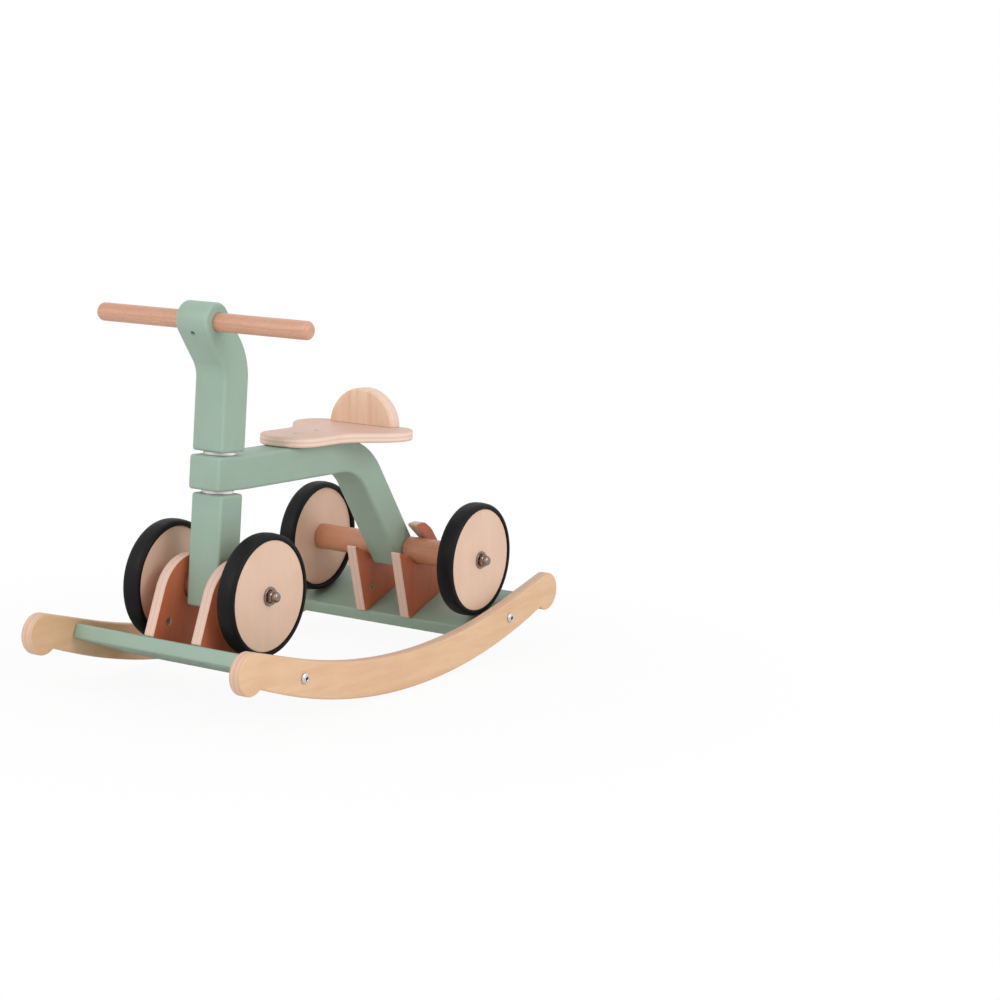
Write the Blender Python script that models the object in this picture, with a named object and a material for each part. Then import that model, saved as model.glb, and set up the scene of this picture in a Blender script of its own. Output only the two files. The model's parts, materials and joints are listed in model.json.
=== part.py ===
"""A wooden four-wheel ride-on that stands docked in a rocker base.

Metres, +Z up. The rider looks along -Y and has +X on the left. The origin is on the floor
under the middle of the rocker base, halfway between the two axles.
"""
import math

import bmesh
import bpy
from mathutils import Matrix, Vector

# Slit kept between two pieces that touch, and the clearance round a shaft that turns
GAP = 0.0003
RUNNING = 0.0005

# Axles and wheels
WHEELBASE = 0.396
AXLE_HEIGHT = 0.1375
DISC_RADIUS = 0.070
DISC_WIDTH = 0.018
TYRE_RADIUS = 0.078
TYRE_WIDTH = 0.0250
TYRE_PROUD = 0.0018
FRONT_WHEEL_FACE = 0.0847
REAR_WHEEL_FACE = 0.1428
ROD_RADIUS = 0.004
SPACER_RADIUS = 0.018
SPACER_ROUND = 0.003
HUB_WASHER_RADIUS = 0.012
HUB_WASHER_THICKNESS = 0.002
CAP_NUT_FLATS = 0.016
CAP_NUT_HEX = 0.005
CAP_NUT_HEIGHT = 0.0115
CAP_NUT_DOME = 0.0068
ROD_PAST_WHEEL = 0.007

# Frame of the ride-on, one bent timber, measured from the front axle
TIMBER_HALF_WIDTH = 0.024
BEAM_BOTTOM = 0.1232
BEAM_DEPTH = 0.0434
BEND_CENTRE_Y = 0.235
BEND_INNER = 0.0676
LEG_ANGLE = math.radians(37.3)
FOOT_HEIGHT = -0.0227
HEAD_FRONT = -0.029
HEAD_BACK = 0.0256
HEAD_CORNER = 0.006
TIMBER_EDGE = 0.003

# Steering column, leaning back, with the axle a little behind the steering axis
RAKE = math.radians(2.4)
TRAIL = 0.0052
COLUMN_HALF_DEPTH = 0.0216
STEM_HALF_DEPTH = 0.0233
STEM_SHIFT = -0.0017
FORK_BOTTOM = -0.0235
HEAD_BOTTOM = 0.1240
HEAD_TOP = 0.1673
GLIDE_THICKNESS = 0.004
GLIDE_RADIUS = 0.020
PIVOT_RADIUS = 0.005
PIVOT_LOW = 0.070
PIVOT_HIGH = 0.220
ARM_ANGLE = math.radians(39.7)
ARM_BEND_RADIUS = 0.057
EYE_FORWARD = 0.0452
EYE_HEIGHT = 0.3335
EYE_RADIUS = 0.0233
BAR_FORWARD = 0.0440
BAR_HEIGHT = 0.3330
BAR_RADIUS = 0.0115
BAR_HALF_LENGTH = 0.163
BAR_END = 0.0055
LOCK_SCREW_RADIUS = 0.003

# Seat and back rest, measured from the front axle
SEAT_THICKNESS = 0.0135
SEAT_NOSE = 0.113
SEAT_REAR = 0.3245
NOSE_HALF_WIDTH = 0.043
SEAT_HALF_WIDTH = 0.088
NOSE_CORNER = 0.040
REAR_CORNER = 0.034
FLARE_START = 0.196
FLARE_END = 0.284
BACK_RADIUS = 0.052
BACK_DROP = 0.0034
BACK_FRONT = 0.3045
BACK_THICKNESS = 0.021
PLY_EDGE = 0.002
SEAT_SCREWS = (0.157, 0.203)
SEAT_SCREW_LENGTH = 0.034
BACK_SCREW_X = 0.024
BACK_SCREW_LENGTH = 0.036
SCREW_RADIUS = 0.002
SCREW_HEAD_RADIUS = 0.0045
SCREW_HEAD_HEIGHT = 0.0022

# Rocker base
RUNNER_INNER = 0.154
RUNNER_THICKNESS = 0.016
SOLE_RADIUS = 0.946
SOLE_FACETS = 25
CROWN_RADIUS = 0.978
RUNNER_DEPTH = 0.0485
BULB_RADIUS = 0.0265
BULB_Y = 0.3385
BULB_Z = 0.0765
BOARD_Y = 0.2311
BOARD_Z = 0.063865
BOARD_SLOPE = math.radians(20.2)
BOARD_WIDTH = 0.110
BOARD_THICKNESS = 0.0185
BOLT_Y = 0.237
BOLT_Z = 0.0547
BOLT_RADIUS = 0.003
BOLT_HEAD_RADIUS = 0.007
BOLT_HEAD_HEIGHT = 0.0035
BOARD_NUT_INSET = 0.030
CROSS_NUT_RADIUS = 0.005
CROSS_NUT_LENGTH = 0.012
CRADLE_INNER = 0.0295
CRADLE_THICKNESS = 0.015
CRADLE_BOLT_HEAD = 0.006
CRADLE_BOLT_HEAD_HEIGHT = 0.003
CRADLE_BOLT_RECESS = 0.0045
FRONT_NUT = (-0.0536, -0.0394)
REAR_NUT = (-0.0066, -0.0598)
SEAT_RADIUS = 0.0187
FRONT_POCKET_BACK = 0.0060
FRONT_POCKET_FRONT = -0.0069
FRONT_CROWN = (-0.0081, -0.0176)
FRONT_CROWN_RADIUS = 0.0577


# Materials

def material(name, colour, roughness, metallic=0.0):
    made = bpy.data.materials.new(name)
    made.use_nodes = True
    shader = made.node_tree.nodes["Principled BSDF"]
    shader.inputs["Base Color"].default_value = (*colour, 1.0)
    shader.inputs["Roughness"].default_value = roughness
    shader.inputs["Metallic"].default_value = metallic
    return made


# Outlines, as lists of two coordinates

def arc(centre, radius, start, end, steps):
    """Points on an arc about centre. Angles are in radians, from the first axis to the second."""
    turn = (end - start) / steps
    angles = [start + turn * step for step in range(steps + 1)]
    return [(centre[0] + radius * math.cos(a), centre[1] + radius * math.sin(a)) for a in angles]


def rounded(corners, radii, steps=4):
    """A polygon whose corners are arcs of the given radii. A radius of 0 keeps the corner sharp."""
    points = []
    count = len(corners)
    for index, (corner, radius) in enumerate(zip(corners, radii)):
        here = Vector(corner)
        if radius == 0:
            points.append(tuple(here))
            continue
        back = (Vector(corners[index - 1]) - here).normalized()
        ahead = (Vector(corners[(index + 1) % count]) - here).normalized()
        half = back.angle(ahead) / 2
        centre = here + (back + ahead).normalized() * (radius / math.sin(half))
        first = here + back * (radius / math.tan(half)) - centre
        last = here + ahead * (radius / math.tan(half)) - centre
        start = math.atan2(first.y, first.x)
        sweep = math.remainder(math.atan2(last.y, last.x) - start, 2 * math.pi)
        points += arc(centre, radius, start, start + sweep, steps)
    return points


def frame_outline():
    """Side of the bent timber: a square head, a level beam, an arc and a sloping leg."""
    bend = (BEND_CENTRE_Y, BEAM_BOTTOM - BEND_INNER)
    outer = BEND_INNER + BEAM_DEPTH
    under = arc(bend, BEND_INNER, math.pi / 2, LEG_ANGLE, 8)
    over = arc(bend, outer, LEG_ANGLE, math.pi / 2, 10)
    slope = Vector((math.sin(LEG_ANGLE), -math.cos(LEG_ANGLE)))
    inner_foot = Vector(under[-1]) + slope * ((under[-1][1] - FOOT_HEIGHT) / -slope.y)
    outer_foot = Vector(over[0]) + slope * ((over[0][1] - FOOT_HEIGHT) / -slope.y)
    head = [column_to_ride(HEAD_FRONT, HEAD_TOP), column_to_ride(HEAD_FRONT, HEAD_BOTTOM),
            column_to_ride(HEAD_BACK, HEAD_BOTTOM)]
    foot = [tuple(inner_foot), tuple(outer_foot)]
    return head + under + foot + over + [column_to_ride(HEAD_BACK, HEAD_TOP)]


def column_to_ride(forward, height):
    """A point of the raked column, given from its steering axis, in the frame of the front axle."""
    back = forward - TRAIL
    return (back * math.cos(RAKE) + height * math.sin(RAKE), height * math.cos(RAKE) - back * math.sin(RAKE))


def stem_outline(bottom):
    """Side of the stem: a straight post, a bend forward and an arm that ends round the bar."""
    reach = (EYE_FORWARD + STEM_SHIFT) / math.sin(ARM_ANGLE)
    corner_height = EYE_HEIGHT - reach * math.cos(ARM_ANGLE)
    bend_height = corner_height - ARM_BEND_RADIUS * math.tan(ARM_ANGLE / 2)
    centre = (STEM_SHIFT - ARM_BEND_RADIUS, bend_height)
    inner = arc(centre, ARM_BEND_RADIUS - STEM_HALF_DEPTH, ARM_ANGLE, 0, 6)
    outer = arc(centre, ARM_BEND_RADIUS + STEM_HALF_DEPTH, 0, ARM_ANGLE, 8)
    eye = arc((-EYE_FORWARD, EYE_HEIGHT), EYE_RADIUS, ARM_ANGLE, ARM_ANGLE + math.pi, 13)
    back = STEM_SHIFT + STEM_HALF_DEPTH
    front = STEM_SHIFT - STEM_HALF_DEPTH
    return [(back, bottom)] + outer + eye[1:] + inner[1:] + [(front, bottom)]


def runner_outline():
    """Side of a runner: a round sole, a flatter crown and a round bulb at each end."""
    crown_centre = Vector((0, RUNNER_DEPTH + CROWN_RADIUS))
    bulb = Vector((BULB_Y, BULB_Z))
    apart = bulb - crown_centre
    lean = math.atan2(apart.x, -apart.y) - math.acos((CROWN_RADIUS + BULB_RADIUS) / apart.length)
    # Where the bulb's circle meets the circle of the sole
    sole_centre = Vector((0, SOLE_RADIUS))
    to_bulb = bulb - sole_centre
    along = (SOLE_RADIUS ** 2 - BULB_RADIUS ** 2 + to_bulb.length_squared) / (2 * to_bulb.length)
    aside = math.sqrt(SOLE_RADIUS ** 2 - along ** 2)
    ahead = to_bulb.normalized()
    meeting = sole_centre + ahead * along + Vector((ahead.y, -ahead.x)) * aside
    under = math.atan2(meeting.y - bulb.y, meeting.x - bulb.x)
    sole_half = math.asin(meeting.x / SOLE_RADIUS)
    down = -math.pi / 2
    sole = arc(sole_centre, SOLE_RADIUS, down - sole_half, down + sole_half, SOLE_FACETS)
    sole = [(y, z - sole[SOLE_FACETS // 2][1]) for y, z in sole]
    right = arc(bulb, BULB_RADIUS, under, math.pi / 2 + lean, 12)
    crown = arc(crown_centre, CROWN_RADIUS, down + lean, down - lean, 16)
    left = [(-y, z) for y, z in reversed(right)]
    return sole[:-1] + right + crown + left[:-1]


def board_point(end, along, above):
    """A point at a board: along its slope from the middle, and above its top face."""
    slope = Vector((math.cos(BOARD_SLOPE), math.sin(BOARD_SLOPE)))
    normal = Vector((-slope.y, slope.x))
    point = Vector((BOARD_Y, BOARD_Z)) + slope * along + normal * above
    return (end * point.x, point.y)


def board_height(y):
    """Height above the floor of a board's top face at a distance y from the middle of the base."""
    return BOARD_Z + (abs(y) - BOARD_Y) * math.tan(BOARD_SLOPE)


def front_cradle_outline():
    """Side of a front cradle plate, from the front axle: a hook over a pocket open to the rear."""
    def base(y):
        return (y, board_height(y - WHEELBASE / 2) + GAP / math.cos(BOARD_SLOPE) - AXLE_HEIGHT)
    floor = arc((FRONT_POCKET_BACK, 0), SEAT_RADIUS, math.radians(315), math.radians(270), 3)
    wall = arc((FRONT_POCKET_FRONT, 0), SEAT_RADIUS, math.radians(270), math.radians(160), 7)
    crown = arc(FRONT_CROWN, FRONT_CROWN_RADIUS, math.radians(95), math.radians(162.2), 8)
    hook = [wall[-1], (-0.0259, 0.0130), (0.0110, 0.0352), (0.0105, 0.0397), crown[0]]
    foot = [crown[-1], base(-0.083), base(0.0225), (0.0565, 0.0045), (0.0455, -0.0010), floor[0]]
    return (floor[1:] + wall[:-1] + rounded(hook, [0, 0.009, 0.0012, 0.0025, 0]) + crown[1:-1]
            + rounded(foot, [0, 0.003, 0.004, 0.002, 0.004, 0]))


def rear_cradle_outline():
    """Side of a rear cradle plate, from the rear axle: a pocket open to the front and a hook over it."""
    def base(y):
        return (y, board_height(y + WHEELBASE / 2) + GAP / math.cos(BOARD_SLOPE) - AXLE_HEIGHT)
    pocket = arc((0, 0), SEAT_RADIUS, math.radians(225), math.radians(380), 10)
    corners = [pocket[-1], (0.0190, 0.0130), (-0.0110, 0.0352), (-0.0105, 0.0386), (0.0080, 0.0400),
               (0.0265, 0.0285), (0.0445, 0.0080), base(0.058), base(-0.0225), (-0.0525, 0.0045),
               (-0.0395, -0.0010), pocket[0]]
    radii = [0, 0.009, 0.0012, 0.0012, 0.020, 0.030, 0.020, 0.004, 0.004, 0.002, 0.004, 0]
    return pocket[1:-1] + rounded(corners, radii)


def seat_outline():
    """Plan of the seat: a narrow nose that flares into a wide tail with round corners."""
    nose = arc((NOSE_HALF_WIDTH - NOSE_CORNER, SEAT_NOSE + NOSE_CORNER), NOSE_CORNER, -math.pi / 2, 0, 8)
    flare = []
    steps = 8
    for step in range(steps + 1):
        t = step / steps
        ease = t * t * (3 - 2 * t)
        flare.append((NOSE_HALF_WIDTH + (SEAT_HALF_WIDTH - NOSE_HALF_WIDTH) * ease,
                      FLARE_START + (FLARE_END - FLARE_START) * t))
    tail = arc((SEAT_HALF_WIDTH - REAR_CORNER, SEAT_REAR - REAR_CORNER), REAR_CORNER, 0, math.pi / 2, 7)
    near = nose + flare + tail
    return near + [(-x, y) for x, y in reversed(near)]


# Meshes

def finish_object(name, mesh, skin, parent=None, place=(0, 0, 0), smooth_below=35):
    mesh.materials.append(skin)
    piece = bpy.data.objects.new(name, mesh)
    bpy.context.scene.collection.objects.link(piece)
    piece.parent = parent
    piece.location = place
    mesh.shade_smooth()
    mesh.set_sharp_from_angle(angle=math.radians(smooth_below))
    return piece


def prism(name, outline, low, high, along, corners):
    """A plate cut to an outline, from low to high along one axis.

    corners holds triples: a test for an edge by its middle and length, its radius and the steps.
    """
    mesh = bpy.data.meshes.new(name)
    form = bmesh.new()
    axes = {"X": (1, 2, 0), "Y": (0, 2, 1), "Z": (0, 1, 2)}[along]
    vertices = []
    for first, second in outline:
        place = [0, 0, 0]
        place[axes[0]] = first
        place[axes[1]] = second
        place[axes[2]] = low
        vertices.append(form.verts.new(place))
    face = form.faces.new(vertices)
    raised = bmesh.ops.extrude_face_region(form, geom=[face])
    step = [0, 0, 0]
    step[axes[2]] = high - low
    bmesh.ops.translate(form, vec=step, verts=[v for v in raised["geom"] if isinstance(v, bmesh.types.BMVert)])
    bmesh.ops.recalc_face_normals(form, faces=form.faces)
    for test, radius, steps in corners:
        chosen = [e for e in form.edges if test((e.verts[0].co + e.verts[1].co) / 2, e.calc_length())]
        bmesh.ops.bevel(form, geom=chosen, offset=radius, segments=steps, profile=0.5, affect="EDGES")
    form.to_mesh(mesh)
    form.free()
    return mesh


def add_edge_round(piece, width, steps):
    rounding = piece.modifiers.new("rounded edges", "BEVEL")
    rounding.limit_method = "ANGLE"
    rounding.angle_limit = math.radians(40)
    rounding.width = width
    rounding.segments = steps
    rounding.use_clamp_overlap = True


def plate(name, outline, low, high, skin, along="X", edge=0.002, edge_steps=2, corners=(), **placing):
    """A flat piece cut to an outline, with its sharp edges rounded where edge is above 0."""
    piece = finish_object(name, prism(name, outline, low, high, along, corners), skin, **placing)
    if edge > 0:
        add_edge_round(piece, edge, edge_steps)
    return piece


def lathe(form, profile, segments, closed=False, hexagon=()):
    """Rings of points about +X for a profile of (distance along the axis, radius), joined by faces."""
    rings = []
    for index, (distance, radius) in enumerate(profile):
        if radius == 0:
            rings.append([form.verts.new((distance, 0, 0))] * segments)
            continue
        ring = []
        for step in range(segments):
            angle = 2 * math.pi * step / segments
            reach = radius
            if index in hexagon:
                reach = radius / math.cos(math.remainder(angle, math.pi / 3))
            ring.append(form.verts.new((distance, reach * math.cos(angle), reach * math.sin(angle))))
        rings.append(ring)
    count = len(profile)
    for index in range(count if closed else count - 1):
        first = rings[index]
        second = rings[(index + 1) % count]
        for step in range(segments):
            following = (step + 1) % segments
            corners = [first[step], first[following], second[following], second[step]]
            form.faces.new(list(dict.fromkeys(corners)))
    return [vertex for ring in rings for vertex in dict.fromkeys(ring)]


def turned(name, profile, skin, closed=False, segments=32, aim=None, hexagon=(), **placing):
    """A piece turned about +X. The profile holds (distance along the axis, radius).

    closed joins the profile's ends, for a ring. hexagon lists the profile's points whose ring
    has six flats. aim turns the finished piece from +X to another direction.
    """
    mesh = bpy.data.meshes.new(name)
    form = bmesh.new()
    lathe(form, profile, segments, closed, hexagon)
    bmesh.ops.recalc_face_normals(form, faces=form.faces)
    if aim is not None:
        turn = Vector((1, 0, 0)).rotation_difference(Vector(aim)).to_matrix().to_4x4()
        bmesh.ops.transform(form, matrix=turn, verts=form.verts)
    form.to_mesh(mesh)
    form.free()
    return finish_object(name, mesh, skin, **placing)


def bore(piece, holes, segments=16):
    """Cut round holes in the piece's own coordinates.

    A hole is a start, an end and a radius. It can add the depth and the radius of a recess at its end.
    """
    mesh = bpy.data.meshes.new("cut_" + piece.name)
    form = bmesh.new()
    for start, end, radius, *recess in holes:
        run = Vector(end) - Vector(start)
        length = run.length
        profile = [(0, 0), (0, radius)]
        if recess:
            depth, wide = recess
            profile += [(length - depth, radius), (length - depth, wide), (length, wide), (length, 0)]
        else:
            profile += [(length, radius), (length, 0)]
        vertices = lathe(form, profile, segments)
        turn = Vector((1, 0, 0)).rotation_difference(run).to_matrix().to_4x4()
        bmesh.ops.transform(form, matrix=Matrix.Translation(start) @ turn, verts=vertices)
    bmesh.ops.recalc_face_normals(form, faces=form.faces)
    form.to_mesh(mesh)
    form.free()
    cutter = bpy.data.objects.new("cut_" + piece.name, mesh)
    bpy.context.scene.collection.objects.link(cutter)
    cutter.parent = piece
    cutter.hide_render = True
    cutter.display_type = "WIRE"
    cutting = piece.modifiers.new("bores", "BOOLEAN")
    cutting.operation = "DIFFERENCE"
    cutting.solver = "EXACT"
    cutting.use_self = True
    cutting.object = cutter


def empty(name, parent=None, place=(0, 0, 0), turn=(0, 0, 0)):
    marker = bpy.data.objects.new(name, None)
    bpy.context.scene.collection.objects.link(marker)
    marker.parent = parent
    marker.location = place
    marker.rotation_euler = turn
    return marker


# Fasteners

def bolt(name, head_radius, head_height, radius, length, skin, aim, **placing):
    """A pan-head bolt. Its head's seat is at the origin and its shank runs along aim."""
    crown = 0.6 * head_radius
    profile = [(-head_height, 0), (-head_height, crown), (-0.6 * head_height, 0.92 * head_radius),
               (0, head_radius), (0, radius), (length, radius), (length, 0)]
    return turned(name, profile, skin, segments=12, aim=aim, **placing)


def countersunk(name, length, skin, aim, **placing):
    """A countersunk screw. The top of its head is at the origin and its shank runs along aim."""
    profile = [(0, 0), (0, SCREW_HEAD_RADIUS), (SCREW_HEAD_HEIGHT, SCREW_RADIUS),
               (length - 0.004, SCREW_RADIUS), (length, 0)]
    return turned(name, profile, skin, segments=12, aim=aim, **placing)


def cross_nut(name, skin, aim, hole_along, **placing):
    """A barrel nut about its middle, bored across for its bolt."""
    half = CROSS_NUT_LENGTH / 2
    profile = [(-half, 0), (-half, CROSS_NUT_RADIUS), (half, CROSS_NUT_RADIUS), (half, 0)]
    piece = turned(name, profile, skin, segments=12, aim=aim, **placing)
    reach = Vector(hole_along).normalized() * CROSS_NUT_RADIUS * 2
    bore(piece, [(-reach, reach, BOLT_RADIUS + GAP)], segments=10)
    return piece


# Wheels

def wheel(label, side, face, hub, skins):
    """A plywood disc and its rubber tyre, with their origin on the axle, and the washer and cap nut."""
    outer = face * side
    inner = (face - DISC_WIDTH) * side
    rim = 0.0015
    shape = [(inner, ROD_RADIUS + RUNNING), (inner, DISC_RADIUS - rim), (inner + side * rim, DISC_RADIUS),
             (outer - side * rim, DISC_RADIUS), (outer, DISC_RADIUS - rim), (outer, ROD_RADIUS + RUNNING)]
    turned("wheel_disc_" + label, shape, skins["ply"], closed=True, segments=36, **hub)
    half = TYRE_WIDTH / 2
    middle = side * (face + TYRE_PROUD - half)
    seat = DISC_RADIUS + GAP
    crown = TYRE_RADIUS
    section = [(-half, seat), (-half, crown - 0.0035), (-0.6 * half, crown - 0.0006), (0, crown),
               (0.6 * half, crown - 0.0006), (half, crown - 0.0035), (half, seat)]
    section = [(middle + x, radius) for x, radius in section]
    turned("tyre_" + label, section, skins["rubber"], closed=True, segments=36, **hub)


def wheel_fixing(label, side, face, hub, skins):
    """The washer and the domed nut that hold a wheel on its rod."""
    start = face + RUNNING
    end = start + HUB_WASHER_THICKNESS
    ring = [(start, ROD_RADIUS + GAP), (start, HUB_WASHER_RADIUS), (end, HUB_WASHER_RADIUS - 0.0008),
            (end, ROD_RADIUS + GAP)]
    ring = [(side * x, radius) for x, radius in ring]
    turned("hub_washer_" + label, ring, skins["steel"], closed=True, segments=18, **hub)
    foot = end + GAP
    flats = CAP_NUT_FLATS / 2
    dome_start = foot + CAP_NUT_HEX
    top = foot + CAP_NUT_HEIGHT
    hollow = foot + CAP_NUT_HEIGHT - 0.003
    shape = [(hollow, 0), (hollow, ROD_RADIUS + GAP), (foot, ROD_RADIUS + GAP), (foot, flats), (dome_start, flats),
             (dome_start + 0.0004, CAP_NUT_DOME), (top - 0.0025, 0.9 * CAP_NUT_DOME),
             (top - 0.0008, 0.6 * CAP_NUT_DOME), (top, 0)]
    shape = [(side * x, radius) for x, radius in shape]
    turned("cap_nut_" + label, shape, skins["steel"], segments=18, hexagon=(3, 4), **hub)


def axle(label, face, hub, skins):
    """A steel rod from nut to nut, and a wooden spacer on it between the timber and each wheel."""
    half = face + ROD_PAST_WHEEL
    rod = [(-half, 0), (-half, ROD_RADIUS), (half, ROD_RADIUS), (half, 0)]
    turned(label + "_axle_rod", rod, skins["steel"], segments=16, **hub)
    for side, hand in ((1, "left"), (-1, "right")):
        near = side * (TIMBER_HALF_WIDTH + GAP)
        far = side * (face - DISC_WIDTH - RUNNING)
        lip = 0.001
        rounding = arc((SPACER_ROUND, SPACER_RADIUS - SPACER_ROUND), SPACER_ROUND, math.pi, math.pi / 2, 2)
        tube = [(near + side * along, radius) for along, radius in rounding]
        tube += [(far - side * lip, SPACER_RADIUS), (far, SPACER_RADIUS - lip), (far, ROD_RADIUS + GAP),
                 (near, ROD_RADIUS + GAP)]
        turned(label + "_axle_spacer_" + hand, tube, skins["beech"], closed=True, segments=24, **hub)


# Sub-assemblies

def build_base(skins):
    """Two runners, two sloping boards bolted between them, and four cradle plates on the boards."""
    outline = runner_outline()
    for side, hand in ((1, "left"), (-1, "right")):
        low, high = sorted((side * RUNNER_INNER, side * (RUNNER_INNER + RUNNER_THICKNESS)))
        runner = plate("runner_" + hand, outline, low, high, skins["runner"], edge=0.0025)
        holes = []
        for end in (-1, 1):
            start = (low - 0.001, end * BOLT_Y, BOLT_Z)
            stop = (high + 0.001, end * BOLT_Y, BOLT_Z)
            holes.append((start, stop, BOLT_RADIUS + GAP))
        bore(runner, holes)
    for end, place in ((-1, "front"), (1, "rear")):
        build_board(end, place, skins)
        build_cradles(end, place, skins)


def build_board(end, place, skins):
    half = BOARD_WIDTH / 2
    corners = [board_point(end, -half, 0), board_point(end, half, 0), board_point(end, half, -BOARD_THICKNESS),
               board_point(end, -half, -BOARD_THICKNESS)]
    reach = RUNNER_INNER - GAP
    board = plate(place + "_board", corners, -reach, reach, skins["paint"], edge=0.0022)
    normal = Vector((0, -end * math.sin(BOARD_SLOPE), math.cos(BOARD_SLOPE)))
    holes = []
    nut_x = reach - BOARD_NUT_INSET
    for side, hand in ((1, "left"), (-1, "right")):
        axis = Vector((0, end * BOLT_Y, BOLT_Z))
        tip = nut_x - 0.009
        holes.append((axis + Vector((side * (tip - 0.001), 0, 0)), axis + Vector((side * (reach + 0.001), 0, 0)),
                      BOLT_RADIUS + GAP))
        nut = axis + Vector((side * nut_x, 0, 0))
        holes.append((nut - normal * BOARD_THICKNESS, nut + normal * (CROSS_NUT_LENGTH / 2 + GAP),
                      CROSS_NUT_RADIUS + GAP))
        cross_nut("board_nut_%s_%s" % (place, hand), skins["steel"], normal, (1, 0, 0), place=nut)
        seat = Vector((side * (RUNNER_INNER + RUNNER_THICKNESS + GAP), end * BOLT_Y, BOLT_Z))
        bolt("runner_bolt_%s_%s" % (place, hand), BOLT_HEAD_RADIUS, BOLT_HEAD_HEIGHT, BOLT_RADIUS,
             seat.x * side - tip, skins["steel"], (-side, 0, 0), place=seat)
        foot = cradle_nut_place(end, side) - normal * cradle_nut_rise(end)
        underside = foot - normal * BOARD_THICKNESS
        past = 0.001
        holes.append((foot + normal * past, underside - normal * past, BOLT_RADIUS + GAP,
                      CRADLE_BOLT_RECESS + past, CRADLE_BOLT_HEAD + 2 * GAP))
    bore(board, holes)


def cradle_nut_place(end, side):
    """Centre of the barrel nut in a cradle plate, in the frame of the floor."""
    back, up = FRONT_NUT if end < 0 else REAR_NUT
    middle = CRADLE_INNER + CRADLE_THICKNESS / 2
    return Vector((side * middle, end * WHEELBASE / 2 + back, AXLE_HEIGHT + up))


def cradle_nut_rise(end):
    """Distance of that nut above the board's top face, square to the face."""
    nut = cradle_nut_place(end, 1)
    return (nut.z - board_height(nut.y)) * math.cos(BOARD_SLOPE)


def build_cradles(end, place, skins):
    outline = front_cradle_outline() if end < 0 else rear_cradle_outline()
    normal = Vector((0, -end * math.sin(BOARD_SLOPE), math.cos(BOARD_SLOPE)))
    axle_place = Vector((0, end * WHEELBASE / 2, AXLE_HEIGHT))
    rise = cradle_nut_rise(end)
    for side, hand in ((1, "left"), (-1, "right")):
        low, high = sorted((side * CRADLE_INNER, side * (CRADLE_INNER + CRADLE_THICKNESS)))
        cradle = plate("cradle_%s_%s" % (place, hand), outline, low, high, skins["ply"], edge=0.0012,
                       edge_steps=1, place=axle_place)
        nut = cradle_nut_place(end, side)
        local = nut - axle_place
        across = Vector((side, 0, 0))
        mouth = local - across * CRADLE_THICKNESS
        stop = local + across * (CROSS_NUT_LENGTH / 2 + GAP)
        holes = [(mouth, stop, CROSS_NUT_RADIUS + GAP),
                 (local - normal * (rise + 0.002), local + normal * 0.009, BOLT_RADIUS + GAP)]
        bore(cradle, holes)
        cross_nut("cradle_nut_%s_%s" % (place, hand), skins["steel"], across, normal, place=nut)
        reach = rise + BOARD_THICKNESS - CRADLE_BOLT_RECESS + GAP
        bolt("cradle_bolt_%s_%s" % (place, hand), CRADLE_BOLT_HEAD, CRADLE_BOLT_HEAD_HEIGHT, BOLT_RADIUS,
             reach + 0.007, skins["steel"], normal, place=nut - normal * reach)


def build_ride_on(pivot, skins):
    """The bent frame with its rear axle and wheels, the seat and the back rest."""
    front_axle = Vector((0, -WHEELBASE, 0))
    placing = {"parent": pivot, "place": front_axle}

    def is_head_corner(middle, length):
        return middle.y < -0.02 and abs(middle.z - 0.146) < 0.003 and length > 0.03

    frame = plate("frame", frame_outline(), -TIMBER_HALF_WIDTH, TIMBER_HALF_WIDTH, skins["paint"],
                  edge=TIMBER_EDGE, corners=[(is_head_corner, HEAD_CORNER, 3)], **placing)
    seat_bottom = BEAM_BOTTOM + BEAM_DEPTH + GAP
    seat_top = seat_bottom + SEAT_THICKNESS
    low = column_to_ride(0, HEAD_BOTTOM - 0.004)
    high = column_to_ride(0, HEAD_TOP + 0.004)
    holes = [((0, *low), (0, *high), PIVOT_RADIUS + 2 * RUNNING),
             ((-0.03, WHEELBASE, 0), (0.03, WHEELBASE, 0), ROD_RADIUS + GAP)]
    for y in SEAT_SCREWS:
        holes.append(((0, y, seat_bottom + 0.001), (0, y, seat_top - SEAT_SCREW_LENGTH - 0.002),
                      SCREW_RADIUS + GAP))
    bore(frame, holes)
    build_seat(seat_bottom, front_axle, placing, skins)

    lower = column_glide("lower", HEAD_BOTTOM - GAP - GLIDE_THICKNESS, pivot, skins)
    upper = column_glide("upper", HEAD_TOP + GAP, pivot, skins)
    for glide in (lower, upper):
        glide.rotation_euler = (-RAKE, 0, 0)

    hub = {"parent": pivot, "place": (0, 0, 0)}
    axle("rear", REAR_WHEEL_FACE, hub, skins)
    for side, hand in ((1, "left"), (-1, "right")):
        wheel("rear_" + hand, side, REAR_WHEEL_FACE, hub, skins)
        wheel_fixing("rear_" + hand, side, REAR_WHEEL_FACE, hub, skins)


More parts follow.
